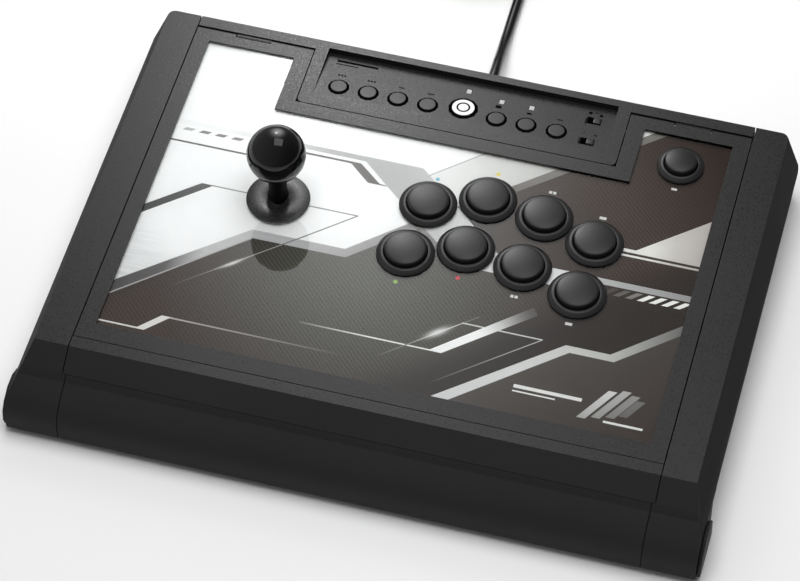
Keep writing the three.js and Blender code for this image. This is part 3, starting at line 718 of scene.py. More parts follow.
s = lathe("lever_rod", steel, (lx, ly, 0), [SHINY], 64)
ride(s, "lever")
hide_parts("lever_shaft")
s = lathe("lever_actuator", [(3.8, 11.0), (7.1, 11.0), (7.5, 11.4), (7.5, 18.4), (7.2, 19.0), (6.5, 19.6), (3.8, 19.6)], (lx, ly, 0), [HOUSING], 64, closed=True)
ride(s, "lever")
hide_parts("actuator")
s = lathe("lever_pivot_bush", [(4.6, 30.5), (4.9, 30.2), (8.7, 30.2)] + arc(0, 33.5, 9.25, -20, 20, 8) + [(8.7, 36.8), (4.9, 36.8), (4.6, 36.5)], (lx, ly, 0), [ACETAL], 64, closed=True)
ride(s, "lever_pivot")
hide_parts("pivot_ring")
s = lathe("lever_glide", [(11.2, 47.42), (11.4, 47.4), (15.8, 47.4), (16.0, 47.5), (16.0, 47.62), (15.8, 47.7), (11.4, 47.7), (11.2, 47.62)], (lx, ly, 0), [HOUSING], 96, closed=True)
ride(s, "washer_carrier")
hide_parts("washer_glide")
# spring: round wire, closed end turns
bm = bmesh.new()
turns, per, wire = 5.0, 32, 8
rings = []
for i in range(int(turns * per) + 1):
    t = i / (turns * per)
    ang = 2 * math.pi * turns * t
    zc = 20.45 + 7.1 * (t + 0.085 * math.sin(2 * math.pi * t) * -1)
    c0 = Vector((lx + 5.6 * math.cos(ang), ly + 5.6 * math.sin(ang), zc))
    rad = Vector((math.cos(ang), math.sin(ang), 0))
    ring = []
    for k in range(wire):
        q = 2 * math.pi * k / wire
        ring.append(bm.verts.new((c0 + rad * (0.55 * math.cos(q)) + Vector((0, 0, 0.55 * math.sin(q)))) * MM))
    rings.append(ring)
for a, b2 in zip(rings, rings[1:]):
    for k in range(wire):
        bm.faces.new((a[k], a[(k + 1) % wire], b2[(k + 1) % wire], b2[k]))
bm.faces.new(rings[0])
bm.faces.new(rings[-1][::-1])
s = from_bm(bm, "lever_spring", [SPRING])
ride(s, "lever")
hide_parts("centring_spring")
ride(refined("lever_base", "lever_bracket", [HOUSING], 0.5, 2), "lid")
ride(refined("lever_switch_board", "lever_switches", [HOUSING, BOARD], 0.25, 2,
             pick=lambda c, n: 1 if 0.0209 < c.z < 0.0227 else 0), "lid")

# ------------------------------------------------------------------ control strip pieces
tilt = Matrix.Rotation(-math.atan(STRIP_SLOPE), 4, "X")


def strip_cap(name, x, y, r, mats, body, node, slot):
    prof = [(0, -6), (r - 0.2, -6), (r, -5.8), (r, 0.6)] + arc(r - 0.35, 0.65, 0.35, 0, 84, 6)
    prof += [(r * 0.88, 1.01), (r * 0.75, 1.03), (r * 0.5, 1.05), (r * 0.25, 1.06), (0, 1.06)]
    # the cap's sides below its flat top take the near-black plastic: painted shade in the gap
    c = lathe(name, prof, (x, y, strip_z(y)), mats, 72, matrix=tilt, pick=lambda c, n: 1 if n.z < 0.6 else 0)
    ride(c, body)
    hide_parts(node)
    return c


for k, x in SMALL.items():
    strip_cap(f"menu_button_{k}", x, SMALL_Y, 5.05, [SMALLCAP, GAP_PAINTED_SHADE], f"small_{k}", f"small_cap_{k}", "small_cap_plastic")
strip_cap("home_button", *HOME, 6.9, [HOME_WHITE, GAP_PAINTED_SHADE], "home", "home_cap", "home_white")
for i, (x, y) in enumerate(SWITCHES):
    bm = bmesh.new()
    rounded_box(bm, 1.75 - 2.3, 1.75 + 2.3, -2.3, 2.3, -2.2, 0.9, 0.35, 3)
    rounded_box(bm, 1.75 - 1.1, 1.75 - 0.7, -2.0, 2.0, 0.5, 1.0, 0.12, 2)
    rounded_box(bm, 1.75 - 0.2, 1.75 + 0.2, -2.0, 2.0, 0.5, 1.0, 0.12, 2)
    rounded_box(bm, 1.75 + 0.7, 1.75 + 1.1, -2.0, 2.0, 0.5, 1.0, 0.12, 2)
    bmesh.ops.transform(bm, matrix=tilt, verts=bm.verts)
    bmesh.ops.translate(bm, vec=Vector((x, y, strip_z(y))) * MM, verts=bm.verts)
    s = from_bm(bm, f"selector_knob_{i + 1}", [SMALLCAP])
    ride(s, f"switch_{i + 1}")
    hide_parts(f"slide_switch_{i + 1}")


# printed marks on the sunk strip: plain dots, bars and squares
def strip_prints():
    bm = bmesh.new()

    def plate(points, lift=0.03, index=0):
        """A thin printed patch on the sloped strip; points (x, y)."""
        points = [(x, y - 0.044 * (y - STRIP_FRONT_Y)) for x, y in points]
        top = [bm.verts.new((x * MM, y * MM, (strip_z(y) + lift + 0.04) * MM)) for x, y in points]
        low = [bm.verts.new((x * MM, y * MM, (strip_z(y) + lift - 0.02) * MM)) for x, y in points]
        fs = [bm.faces.new(top), bm.faces.new(low[::-1])]
        n = len(points)
        for i in range(n):
            fs.append(bm.faces.new((top[i], low[i], low[(i + 1) % n], top[(i + 1) % n])))
        for f in fs:
            f.material_index = index

    def rect(x, y, w, h, index=0):
        plate([(x - w / 2, y - h / 2), (x + w / 2, y - h / 2), (x + w / 2, y + h / 2), (x - w / 2, y + h / 2)], index=index)

    def dot(x, y, r, index=0, n=20):
        plate([(x + r * math.cos(2 * math.pi * i / n), y + r * math.sin(2 * math.pi * i / n)) for i in range(n)], index=index)

    # a plain bar and a thin line where a badge would sit
    rect(-71.4, 139.8, 26.0, 1.7)
    rect(-77.4, 137.0, 14.0, 0.7)
    # marks over the small buttons
    for x in (-78.0, -59.4):
        for d in (-1.9, 0.0, 1.9):
            rect(x + d, 127.2, 1.1, 1.4, 0)
    rect(-40.3, 127.0, 3.4, 0.9, 1)
    rect(-21.8, 126.6, 4.2, 0.9, 1)
    rect(20.2, 127.6, 3.6, 2.6, 0)
    rect(39.4, 127.0, 2.6, 1.6, 0)
    rect(58.6, 127.0, 3.4, 0.9, 1)
    # marks at the two selectors
    dot(75.2, 138.8, 1.2)
    dot(81.9, 137.9, 1.2)
    rect(78.6, 139.7, 2.8, 0.6, 1)
    rect(75.1, 120.4, 0.6, 1.8, 1)
    rect(82.2, 119.6, 1.7, 1.1, 1)
    for x, y in SWITCHES:
        rect(x - 4.95, y, 0.7, 5.4)
    return from_bm(bm, "strip_prints", [INK, INK_GREY])


ride(strip_prints(), "root")

# a thin ring on the home button, standing in for its mark
ringm = [(3.1, 1.03), (4.2, 1.03), (4.2, 1.09), (3.1, 1.10)]
h = lathe("home_ring", ringm, (HOME[0], HOME[1], strip_z(HOME[1])), [INK_GREY], 64, matrix=tilt, closed=True)
ride(h, "home")

# ------------------------------------------------------------------ pieces inside: CAD shapes with their own finish
for n in ("hinge_pin_left", "hinge_pin_right"):
    paint(n, SHINY)
paint("control_plate", PLATE)
paint("light_pipe", LIGHT_GUIDE)
paint("control_board", BOARD)
paint("main_board", BOARD)

# ------------------------------------------------------------------ printed artwork
# The sheet under the window is cut into flat cells, one material each, by clipping convex outlines in paint order.
ART_Z = 45.06
SLOPE = math.radians(40.1)
CA, SA = math.cos(SLOPE), math.sin(SLOPE)


def ccw(poly):
    area = sum(a[0] * b[1] - b[0] * a[1] for a, b in zip(poly, poly[1:] + poly[:1]))
    return poly if area > 0 else poly[::-1]


def split(poly, a, b):
    """Splits a convex outline by the line a to b: the part on its left, the part on its right."""
    ex, ey = b[0] - a[0], b[1] - a[1]
    ln = math.hypot(ex, ey)
    dist = [((p[1] - a[1]) * ex - (p[0] - a[0]) * ey) / ln for p in poly]
    eps = 1e-5
    if all(d >= -eps for d in dist):
        return poly, None
    if all(d <= eps for d in dist):
        return None, poly
    left, rest = [], []
    for i, p in enumerate(poly):
        q = poly[(i + 1) % len(poly)]
        dp, dq = dist[i], dist[(i + 1) % len(poly)]
        if dp >= -eps:
            left.append(p)
        if dp <= eps:
            rest.append(p)
        if (dp > eps and dq < -eps) or (dp < -eps and dq > eps):
            t = dp / (dp - dq)
            c = (p[0] + t * (q[0] - p[0]), p[1] + t * (q[1] - p[1]))
            left.append(c)
            rest.append(c)
    keep = lambda s: s if len(s) >= 3 and abs(sum(a[0] * b[1] - b[0] * a[1] for a, b in zip(s, s[1:] + s[:1]))) > 1e-4 else None
    return keep(left), keep(rest)


cells = [(ccw([(-166.2, -96.4), (166.2, -96.4), (166.2, 90.6), (-166.2, 90.6)]), "white"),
         (ccw([(-166.2, 90.6), (-107.7, 90.6), (-107.7, 132.9), (-166.2, 132.9)]), "white"),
         (ccw([(107.7, 90.6), (166.2, 90.6), (166.2, 132.9), (107.7, 132.9)]), "white")]


def lay(poly, key):
    global cells
    shape = ccw([tuple(map(float, p)) for p in poly])
    x0, x1 = min(p[0] for p in shape), max(p[0] for p in shape)
    y0, y1 = min(p[1] for p in shape), max(p[1] for p in shape)
    out = []
    for cell, old in cells:
        if max(p[0] for p in cell) <= x0 or min(p[0] for p in cell) >= x1 or max(p[1] for p in cell) <= y0 or min(p[1] for p in cell) >= y1:
            out.append((cell, old))
            continue
        inside = cell
        pieces = []
        for a, b in zip(shape, shape[1:] + shape[:1]):
            inside, outside = split(inside, a, b)
            if outside:
                pieces.append(outside)
            if inside is None:
                break
        if inside is None:
            out.append((cell, old))
            continue
        out += [(p, old) for p in pieces]
        if key is not None:
            out.append((inside, key))
    cells = out


def strip_of(a, b, width, key, skew=0.0):
    """A straight line from a to b, width across."""
    dx, dy = b[0] - a[0], b[1] - a[1]
    ln = math.hypot(dx, dy)
    nx, ny = -dy / ln * width / 2, dx / ln * width / 2
    lay([(a[0] + nx, a[1] + ny), (b[0] + nx, b[1] + ny), (b[0] - nx, b[1] - ny), (a[0] - nx, a[1] - ny)], key)


def level(x0, x1, y0, y1, key, lean=0.0):
    lay([(x0, y0), (x1, y0), (x1 + lean, y1), (x0 + lean, y1)], key)


# large fields
lay([(-6.9, 64.9), (15.2, 46), (68.3, 91), (22.4, 91)], "pale")
lay([(15.2, 46), (49, 16), (166.5, 16), (166.5, 133), (117.5, 133)], "dark")
lay([(26, 55.1), (33.5, 55.1), (125.6, 133), (118.1, 133)], "brown_light")
lay([(-166.5, -69.6), (-96, -8.1), (-96, -97), (-166.5, -97)], "dark")
lay([(-96, -8.1), (-38.75, -7.9), (-38.75, -97), (-96, -97)], "dark")
lay([(-38.75, -7.9), (-3, 24.3), (-3, -97), (-38.75, -97)], "dark")
lay([(-3, 24.3), (22, 3.4), (22, -97), (-3, -97)], "dark")
lay([(22, 3.4), (83, 3.4), (83, -97), (22, -97)], "dark")
lay([(83, 3.4), (92.5, 11.75), (166.5, 11.75), (166.5, -97), (83, -97)], "dark")
# the wide grey band from the left edge, down between the buttons, and out to the right edge
lay([(-166.5, 69.3), (-47, 69.3), (-47, 65.6), (-166.5, 65.6)], "band")
lay([(-51.5, 69.3), (-11.7, 69.3), (49.3, 15.9), (11.6, 15.9)], "band")
lay([(11.6, 15.9), (96.5, 15.9), (83, 3.4), (26.5, 3.4)], "band")
lay([(90, 15.9), (166.5, 15.9), (166.5, 11.75), (90, 11.75)], "band")
lay([(-82, 65.6), (-46.6, 65.6), (-48.7, 63.4), (-82, 63.4)], "white")
lay([(-46.6, 65.9), (-30.2, 51.3), (-34.1, 51.3), (-48.7, 63.5)], "white")
lay([(-88, 63.35), (-48.7, 63.35), (-54.4, 61.8), (-88, 61.8)], "grey_piece")
lay([(-48.7, 63.4), (-34.1, 51.1), (-40.9, 50.0), (-54.4, 61.8)], "grey_piece")
lay([(-34.5, 51.1), (-29.4, 50.6), (-29.4, 50.0), (-40.9, 50.0)], "grey_piece")
# upper left: four short dashes and a long line
for i, x in enumerate((-160.0, -149.8, -139.8, -129.5)):
    level(x, x + 5.8, 61.3, 63.5, "dash_pale" if i == 0 else "dash_dark", 2.2)
level(-166.5, -104, 51.7, 53.0, "line_dark")
# chevron with its thin line
lay([(-166.5, -1.4), (-136.4, 24.2), (-128.9, 24.2), (-166.5, -8.0)], "chevron")
level(-131, -40.2, 23.5, 24.3, "line_grey")
strip_of((-39.6, 24.2), (-68.5, -1.0), 0.85, "line_grey")
# upper line beside the deck
strip_of((22.4, 91), (-6.9, 64.8), 0.75, "line_soft")
# silver band
lay([(-166.5, -60.1), (-97.25, -1.9), (-96, -8.1), (-166.5, -69.6)], "silver")
lay([(-97.25, -1.9), (-40.6, -1.9), (-38.75, -7.9), (-96, -8.1)], "silver")
lay([(-40.6, -1.9), (-5.2, 30.0), (-0.5, 26.0), (-38.75, -7.9)], "silver")
lay([(-0.6, 26.1), (26.5, 3.4), (22, 3.4), (-3.5, 24.5)], "silver")
lay([(-166.5, -69.5), (-96, -8.0), (-95.3, -8.5), (-165.8, -70.2)], "edge_light")
# right: wedge, its two lines, the dashes
lay([(117, 38.75), (125, 38.75), (125, 41.2), (117, 41.2)], "wedge")
lay([(125, 38.75), (166.5, 38.75), (166.5, 76.2), (125, 41.2)], "wedge")
level(117, 166.5, 35.5, 37.0, "wedge")
for k in range(7):
    x = 111.8 + 7.2 * k
    level(x, x + 3.9, 5.3, 10.6, ("dash_a", "dash_b", "dash_c", "dash_w", "dash_w", "dash_w", "dash_w")[k], 6.1)
# zigzag band and the plain corner under it
lay([(39.1, -97), (166.5, -97), (166.5, -41.6), (104.4, -41.6)], "plain")
lay([(130.6, -41.6), (166.5, -41.6), (166.5, -10.5)], "plain")
lay([(28.8, -97), (39.1, -97), (104.4, -41.6), (101.25, -36.8)], "zigzag")
lay([(101.25, -36.8), (104.4, -41.6), (130.6, -41.6), (127.5, -36.8)], "zigzag")
lay([(127.5, -36.8), (130.6, -41.6), (166.5, -10.8), (166.5, -3.2)], "zigzag")
# glow fields round the two glints
def turned_box(cx, cy, hu, hv):
    return [(cx + u * CA - v * SA, cy + u * SA + v * CA) for u, v in ((-hu, -hv), (hu, -hv), (hu, hv), (-hu, hv))]


lay(turned_box(27.4, -47.2, 13, 6.5), "glow_right")
lay(turned_box(-101.5, -29.3, 12, 3.4), "glow_left")
# thin lines over the dark field
strip_of((-77.3, -8.4), (-129.5, -52.6), 0.7, "line_fade_left")
strip_of((-68.0, -0.5), (-77.2, -8.3), 0.8, "line_grey")
level(-52, 27.5, -60.9, -59.9, "line_fade_mid")
strip_of((40.2, -36.6), (-1.8, -72.2), 0.75, "line_fade_centre")
strip_of((48.0, -30.0), (40.2, -36.6), 0.5, "line_faint")
level(39.6, 87.4, -37.2, -36.3, "line_bright")
strip_of((87.2, -36.8), (30.0, -84.6), 0.65, "line_fade_low")
lay([(25.2, -60.9), (33.2, -60.9), (80.6, -20.3), (77.0, -15.2)], "bar")
level(-126.5, -18, -77.4, -76.4, "line_fade_bottom")
lay([(-142.4, -89.2), (-137.0, -89.2), (-124.3, -76.4), (-129.9, -76.4)], "bar_white")
level(-166.5, -140, -89.2, -88.1, "bar_white")

# button marks: a coloured dot or plain bars in place of letters
def dot(x, y, r, key, n=20):
    lay([(x + r * math.cos(2 * math.pi * i / n), y + r * math.sin(2 * math.pi * i / n)) for i in range(n)], key)


dot(-1.3, 63.4, 1.25, "mark_cyan")
dot(32.7, 76.4, 1.35, "mark_yellow")
dot(-5.6, -17.7, 1.35, "mark_green")
dot(28.8, -5.6, 1.35, "mark_red")
for cx, cy, bars in ((67.4, 71.0, 2), (100.7, 59.8, 1), (63.9, -10.4, 2), (99.2, -21.6, 1)):
    for k in range(bars):
        o = (k - (bars - 1) / 2) * 2.5
        level(cx + o - (0.95 if bars == 2 else 2.1), cx + o + (0.95 if bars == 2 else 2.1), cy - 1.0, cy + 1.0, "mark_white")
level(134.9, 138.3, 91.4, 93.0, "mark_white")
# generic corner motif: a plain rule with a row of leaning bars
level(79.0, 119.0, -73.6, -71.2, "motif_white")
level(79.0, 104.0, -76.4, -75.4, "motif_white")
for k, (dx, h0, h1, key) in enumerate(((0, -84.5, -62.0, "motif_a"), (8.0, -82.5, -60.0, "motif_b"), (16.0, -80.5, -62.0, "motif_c"), (23.0, -78.0, -65.0, "motif_d"))):
    x = 118.5 + dx
    level(x, x + 5.0, h0, h1, key, (h1 - h0) * 0.62)
level(134.0, 157.0, -84.6, -83.0, "motif_white")

# openings for the buttons and the lever
def hole(x, y, r, n=48):
    lay([(x + r * math.cos(2 * math.pi * i / n), y + r * math.sin(2 * math.pi * i / n)) for i in range(n)], None)


for x, y in MAIN.values():
    hole(x, y, 15.1)
hole(*OPTION, 12.2)
hole(*LEVER, 10.1)


# ---- artwork materials
def film(m, colour, rough=0.42):
    """Printed film: ink with slight unevenness."""
    soft = m.noise(30.0, 2.0)
    tone = m.range(soft, 0.3, 0.7, 0.99, 1.01)
    col = m.node("ShaderNodeVectorMath", operation="SCALE")
    m.put(col.inputs[0], colour)
    m.put(col.inputs["Scale"], tone)
    return m.shade(col.outputs[0], m.range(soft, 0.3, 0.7, rough - 0.02, rough + 0.02), **{"Specular IOR Level": 0.15})


def lin(v):
    """Linear value of an 8-bit grey."""
    v = v / 255
    return v / 12.92 if v <= 0.04045 else ((v + 0.055) / 1.055) ** 2.4


def rgb(r, g, b):
    return (lin(r), lin(g), lin(b))


def flat_print(name, colour, rough=0.42):
    m = Mat(name)
    c = m.node("ShaderNodeRGB")
    c.outputs[0].default_value = (*colour, 1)
    return film(m, c.outputs[0], rough)


def field_colour(m):
    """The dark field: greenish grey in the middle, brown towards the corners, with fine slanted stripes."""
    off = m.node("ShaderNodeVectorMath", operation="SUBTRACT")
    m.put(off.inputs[0], m.obj)
    off.inputs[1].default_value = (-0.020, -0.025, 0.045)
    sc = m.node("ShaderNodeVectorMath", operation="MULTIPLY")
    m.put(sc.inputs[0], off.outputs[0])
    sc.inputs[1].default_value = (1 / 0.250, 1 / 0.215, 0)
    ln = m.node("ShaderNodeVectorMath", operation="LENGTH")
    m.put(ln.inputs[0], sc.outputs[0])
    base = m.ramp(ln.outputs["Value"], DARK_RAMP)
    # stripes
    st = m.node("ShaderNodeVectorMath", operation="DOT_PRODUCT")
    m.put(st.inputs[0], m.obj)
    st.inputs[1].default_value = (0.7071 / 0.0022, 0.7071 / 0.0022, 0)
    wave = m.math("FRACT", st.outputs["Value"])
    tri = m.math("ABSOLUTE", m.math("SUBTRACT", wave, 0.5))
    stripe = m.range(tri, 0.10, 0.40, 0.80, 1.18, smooth=True)
    col = m.node("ShaderNodeVectorMath", operation="SCALE")
    m.put(col.inputs[0], base)
    m.put(col.inputs["Scale"], stripe)
    out = col.outputs[0]
    # shade above the zigzag band, and along the silver band
    d1 = m.axis((SA, -CA, 0), 0.030, 0.098)
    near = m.range(d1, 0.35, 0.78, 0.0, 0.60, smooth=True)
    out = m.mix(near, out, rgb(30, 28, 26))
    d2 = m.axis((-SA, CA, 0), 0.030, 0.060)
    leftside = m.range(m.axis((1, 0, 0), -0.166, -0.060), 0.0, 1.0, 1.0, 0.0)
    out = m.mix(m.math("MULTIPLY", m.range(d2, 0.35, 1.0, 0.0, 0.45, smooth=True), leftside), out, rgb(40, 36, 33))
    return out


DARK_RAMP = ((0.0, rgb(88, 90, 83)), (0.2, rgb(76, 75, 69)), (0.35, rgb(70, 64, 59)), (0.5, rgb(62, 51, 46)), (0.7, rgb(67, 55, 49)), (1.0, rgb(44, 29, 20)))


def over_field(name, light, amount):
    """A light print that fades into the dark field. amount(m) gives its strength."""
    m = Mat(name)
    return film(m, m.mix(amount(m), field_colour(m), light))


def gauss_local(m, cx, cy, lu, lv):
    """1 at a point, falling off along and across the 40 degree direction."""
    off = m.node("ShaderNodeVectorMath", operation="SUBTRACT")
    m.put(off.inputs[0], m.obj)
    off.inputs[1].default_value = (cx * MM, cy * MM, 0)
    u = m.node("ShaderNodeVectorMath", operation="DOT_PRODUCT")
    m.put(u.inputs[0], off.outputs[0])
    u.inputs[1].default_value = (CA / (lu * MM), SA / (lu * MM), 0)
    v = m.node("ShaderNodeVectorMath", operation="DOT_PRODUCT")
    m.put(v.inputs[0], off.outputs[0])
    v.inputs[1].default_value = (-SA / (lv * MM), CA / (lv * MM), 0)
    uu = m.math("MULTIPLY", u.outputs["Value"], u.outputs["Value"])
    vv = m.math("MULTIPLY", v.outputs["Value"], v.outputs["Value"])
    return m.math("EXPONENT", m.math("MULTIPLY", m.math("ADD", uu, vv), -1.0))


WHITE_INK = (0.90, 0.90, 0.90)
art = {}
# white field with a faint horizontal brushing that grows towards the lower left
m = Mat("art_white")
streak = m.noise(55.0, 4.0, 0.7, m.mapped(scale=(0.5, 9.0, 1)))
low = m.range(m.axis((-CA, -SA, 0), 0.118, 0.152), 0.0, 1.0, 0.0, 1.0, smooth=True)
amp = m.math("MULTIPLY", low, m.range(streak, 0.38, 0.64, 0.0, 1.0))
col = m.mix(m.math("MULTIPLY", low, 0.34), WHITE_INK, (0.62, 0.62, 0.625))
col = m.mix(m.math("MULTIPLY", amp, 0.46), col, (0.50, 0.50, 0.505))
art["white"] = film(m, col)
m = Mat("art_pale")
art["pale"] = film(m, m.mix(m.axis((CA, SA, 0), 0.03, 0.115), (0.80, 0.80, 0.79), (0.54, 0.54, 0.515)))
m = Mat("art_dark")
art["dark"] = film(m, field_colour(m))
m = Mat("art_brown_light")
art["brown_light"] = film(m, m.ramp(m.axis((CA, SA, 0), 0.06, 0.175), ((0, rgb(95, 90, 87)), (0.45, rgb(134, 130, 126)), (1, rgb(124, 120, 114)))))
m = Mat("art_band")
art["band"] = film(m, m.ramp(m.axis((1, 0, 0), -0.166, 0.166), ((0.0, 0.86), (0.10, 0.84), (0.30, 0.38), (0.43, 0.43), (0.52, 0.55), (0.62, 0.74), (0.76, 0.80), (0.84, 0.52), (1.0, 0.33))))
art["grey_piece"] = flat_print("art_grey_piece", rgb(74, 68, 65))
art["dash_pale"] = flat_print("art_dash_pale", rgb(175, 174, 173))
art["dash_dark"] = flat_print("art_dash_dark", rgb(112, 111, 110))
art["line_dark"] = flat_print("art_line_dark", rgb(70, 68, 66))
art["line_grey"] = flat_print("art_line_grey", rgb(120, 120, 120))
art["line_soft"] = flat_print("art_line_soft", rgb(160, 160, 160))
m = Mat("art_chevron")
art["chevron"] = film(m, m.mix(m.axis((CA, SA, 0), -0.128, -0.082), rgb(56, 56, 56), rgb(76, 76, 76)))
m = Mat("art_silver")
streak = m.noise(40.0, 4.0, 0.7, m.mapped(scale=(0.6, 12.0, 1)))
base = m.ramp(m.axis((1, 0, 0), -0.166, 0.026), ((0.0, rgb(70, 68, 68)), (0.14, rgb(92, 90, 90)), (0.24, rgb(196, 196, 196)), (0.36, rgb(196, 196, 197)), (0.50, rgb(186, 185, 186)), (0.72, rgb(158, 157, 156)), (1.0, rgb(100, 99, 97))))
art["silver"] = film(m, m.mix(m.range(streak, 0.35, 0.65, 0.0, 0.12), base, rgb(120, 118, 118)))
art["edge_light"] = flat_print("art_edge_light", rgb(175, 173, 172))
m = Mat("art_wedge")
art["wedge"] = film(m, m.ramp(m.axis((1, 0, 0), 0.117, 0.166), ((0, rgb(240, 240, 238)), (0.3, rgb(238, 237, 232)), (0.6, rgb(208, 204, 200)), (1.0, rgb(188, 182, 177)))))
art["dash_a"] = over_field("art_dash_a", rgb(110, 105, 102), lambda m: 0.35)
art["dash_b"] = over_field("art_dash_b", rgb(125, 120, 117), lambda m: 0.65)
art["dash_c"] = over_field("art_dash_c", rgb(140, 136, 133), lambda m: 0.9)
art["dash_w"] = flat_print("art_dash_w", rgb(250, 249, 246))
m = Mat("art_plain")
art["plain"] = film(m, m.mix(m.axis((CA, -SA, 0), 0.07, 0.19), rgb(84, 80, 77), rgb(62, 53, 48)))
m = Mat("art_zigzag")
art["zigzag"] = film(m, m.ramp(m.axis((1, 0, 0), 0.028, 0.166), ((0, rgb(220, 220, 219)), (0.35, rgb(222, 222, 221)), (0.7, rgb(200, 201, 196)), (1.0, rgb(108, 108, 107)))))
LIGHT = rgb(238, 238, 236)
art["glow_right"] = over_field("art_glow_right", LIGHT, lambda m: m.math("MULTIPLY", gauss_local(m, 27.4, -47.0, 6.5, 2.1), 0.95))
art["glow_left"] = over_field("art_glow_left", LIGHT, lambda m: m.math("MULTIPLY", gauss_local(m, -101.5, -29.3, 6.0, 1.1), 0.85))
art["line_fade_left"] = over_field("art_line_left", rgb(215, 213, 211), lambda m: m.range(m.math("ADD", m.range(m.axis((CA, SA, 0), -0.132, -0.085), 0, 1, 0.05, 0.45), m.math("MULTIPLY", gauss_local(m, -101.5, -29.3, 9.0, 4.0), 0.7)), 0, 1, 0, 1))
art["line_fade_mid"] = over_field("art_line_mid", rgb(250, 250, 248), lambda m: m.range(m.axis((1, 0, 0), -0.056, -0.010), 0, 1, 0.0, 0.95))
art["line_fade_centre"] = over_field("art_line_centre", rgb(240, 240, 238), lambda m: m.range(m.math("ADD", m.range(m.axis((CA, SA, 0), -0.050, 0.0), 0, 1, 0.0, 0.55), m.math("MULTIPLY", gauss_local(m, 27.4, -47.0, 9.0, 5.0), 0.6)), 0, 1, 0, 1))
art["line_faint"] = over_field("art_line_faint", rgb(200, 200, 198), lambda m: 0.3)
art["line_bright"] = over_field("art_line_bright", rgb(238, 238, 236), lambda m: 0.82)
art["line_fade_low"] = over_field("art_line_low", rgb(220, 220, 216), lambda m: m.range(m.axis((CA, SA, 0), -0.032, 0.045), 0, 1, 0.0, 0.8))
art["bar"] = over_field("art_bar", rgb(255, 255, 254), lambda m: m.range(m.axis((CA, SA, 0), 0.008, 0.0485), 0, 1, 1.0, 0.06, smooth=True))
art["line_fade_bottom"] = over_field("art_line_bottom", rgb(205, 200, 198), lambda m: m.range(m.axis((1, 0, 0), -0.126, -0.018), 0, 1, 0.85, 0.0))
art["bar_white"] = flat_print("art_bar_white", rgb(234, 232, 229))
art["mark_cyan"] = flat_print("mark_cyan", rgb(80, 175, 200))
art["mark_yellow"] = flat_print("mark_yellow", rgb(225, 205, 70))
art["mark_green"] = flat_print("mark_green", rgb(150, 190, 90))
art["mark_red"] = flat_print("mark_red", rgb(222, 60, 75))
art["mark_white"] = flat_print("mark_white", rgb(225, 225, 222))
art["motif_white"] = flat_print("motif_white", rgb(240, 240, 238))
for key, v in (("motif_a", 0.85), ("motif_b", 0.55), ("motif_c", 0.35), ("motif_d", 0.2)):
    art[key] = over_field(key, rgb(240, 240, 238), lambda m, v=v: m.range(m.axis((0.3, 1, 0), -0.052, -0.018), 0, 1, v * 0.55, v))

keys = sorted({k for _, k in cells})
bm = bmesh.new()
seen = {}


def vert(p):
    k = (round(p[0], 3), round(p[1], 3))
    if k not in seen:
        seen[k] = bm.verts.new((k[0] * MM, k[1] * MM, ART_Z * MM))
    return seen[k]


for cell, key in cells:
    vs = []
    for p in cell:
        v = vert(p)
        if v not in vs:
            vs.append(v)
    if len(vs) < 3:
        continue
    try:
        f = bm.faces.new(vs)
    except ValueError:
        continue
    f.material_index = keys.index(key)
mesh = bpy.data.meshes.new("art_print")
bm.normal_update()
for f in bm.faces:
    if f.normal.z < 0:
        f.normal_flip()
bm.to_mesh(mesh)
bm.free()
print_obj = new_object("art_print", mesh, [art[k] for k in keys])
ride(print_obj, "lid")
paint("art_sheet", flat_print("sheet_film", (0.78, 0.78, 0.78), 0.35))
print("art cells", len(cells))


# ------------------------------------------------------------------ clear window over the artwork
def clear_material(name, mirror):
    m = Mat(name)
    see = m.node("ShaderNodeBsdfTransparent")
    see.inputs["Color"].default_value = (0.985, 0.988, 0.987, 1)
    wipe = m.noise(60.0, 3.0, 0.6, m.mapped(scale=(1, 0.25, 1)))
    shine = m.node("ShaderNodeBsdfGlossy")
    m.put(shine.inputs["Roughness"], m.range(wipe, 0.35, 0.7, 0.02, 0.05))
    fres = m.node("ShaderNodeFresnel")
    fres.inputs["IOR"].default_value = 1.49
    mixer = m.node("ShaderNodeMixShader")
    m.put(mixer.inputs[0], m.math("MULTIPLY", fres.outputs[0], mirror, clamp=True))
    m.t.links.new(see.outputs[0], mixer.inputs[1])
    m.t.links.new(shine.outputs[0], mixer.inputs[2])
    m.t.links.new(mixer.outputs[0], m.out.inputs["Surface"])
    return m.m


def clear_edge():
    m = Mat("window_edge")
    see = m.node("ShaderNodeBsdfTransparent")
    m.put(see.inputs["Color"], m.mix(m.range(m.noise(300, 2), 0.3, 0.7, 0, 1), (0.97, 0.98, 0.98), (0.99, 0.995, 0.995)))
    m.t.links.new(see.outputs[0], m.out.inputs["Surface"])
    return m.m


TOP, EDGE = clear_material("window_top", 1.25), clear_edge()
bm = bmesh.new()
bm.from_mesh(NODES["window"].data)
bmesh.ops.remove_doubles(bm, verts=bm.verts, dist=4e-6)
bm.normal_update()
for f in bm.faces:
    f.material_index = 0 if f.normal.z > 0.9 else 1
mesh = bpy.data.meshes.new("window_pane")
bm.to_mesh(mesh)
bm.free()
pane = new_object("window_pane", mesh, [TOP, EDGE])
ride(pane, "lid")
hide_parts("window")


# ------------------------------------------------------------------ floor, light
def floor_material():
    m = Mat("floor")
    soft = m.noise(3.0, 3.0)
    return m.shade(m.mix(m.range(soft, 0.3, 0.7, 0, 1), (0.90, 0.90, 0.90), (0.915, 0.915, 0.915)), 0.9, **{"Specular IOR Level": 0.1})


bm = bmesh.new()
bmesh.ops.create_grid(bm, x_segments=8, y_segments=8, size=4.0)
mesh = bpy.data.meshes.new("floor")
bm.to_mesh(mesh)
bm.free()
floor = new_object("floor", mesh, [floor_material()])
floor.location = (0, 0, -0.0002)

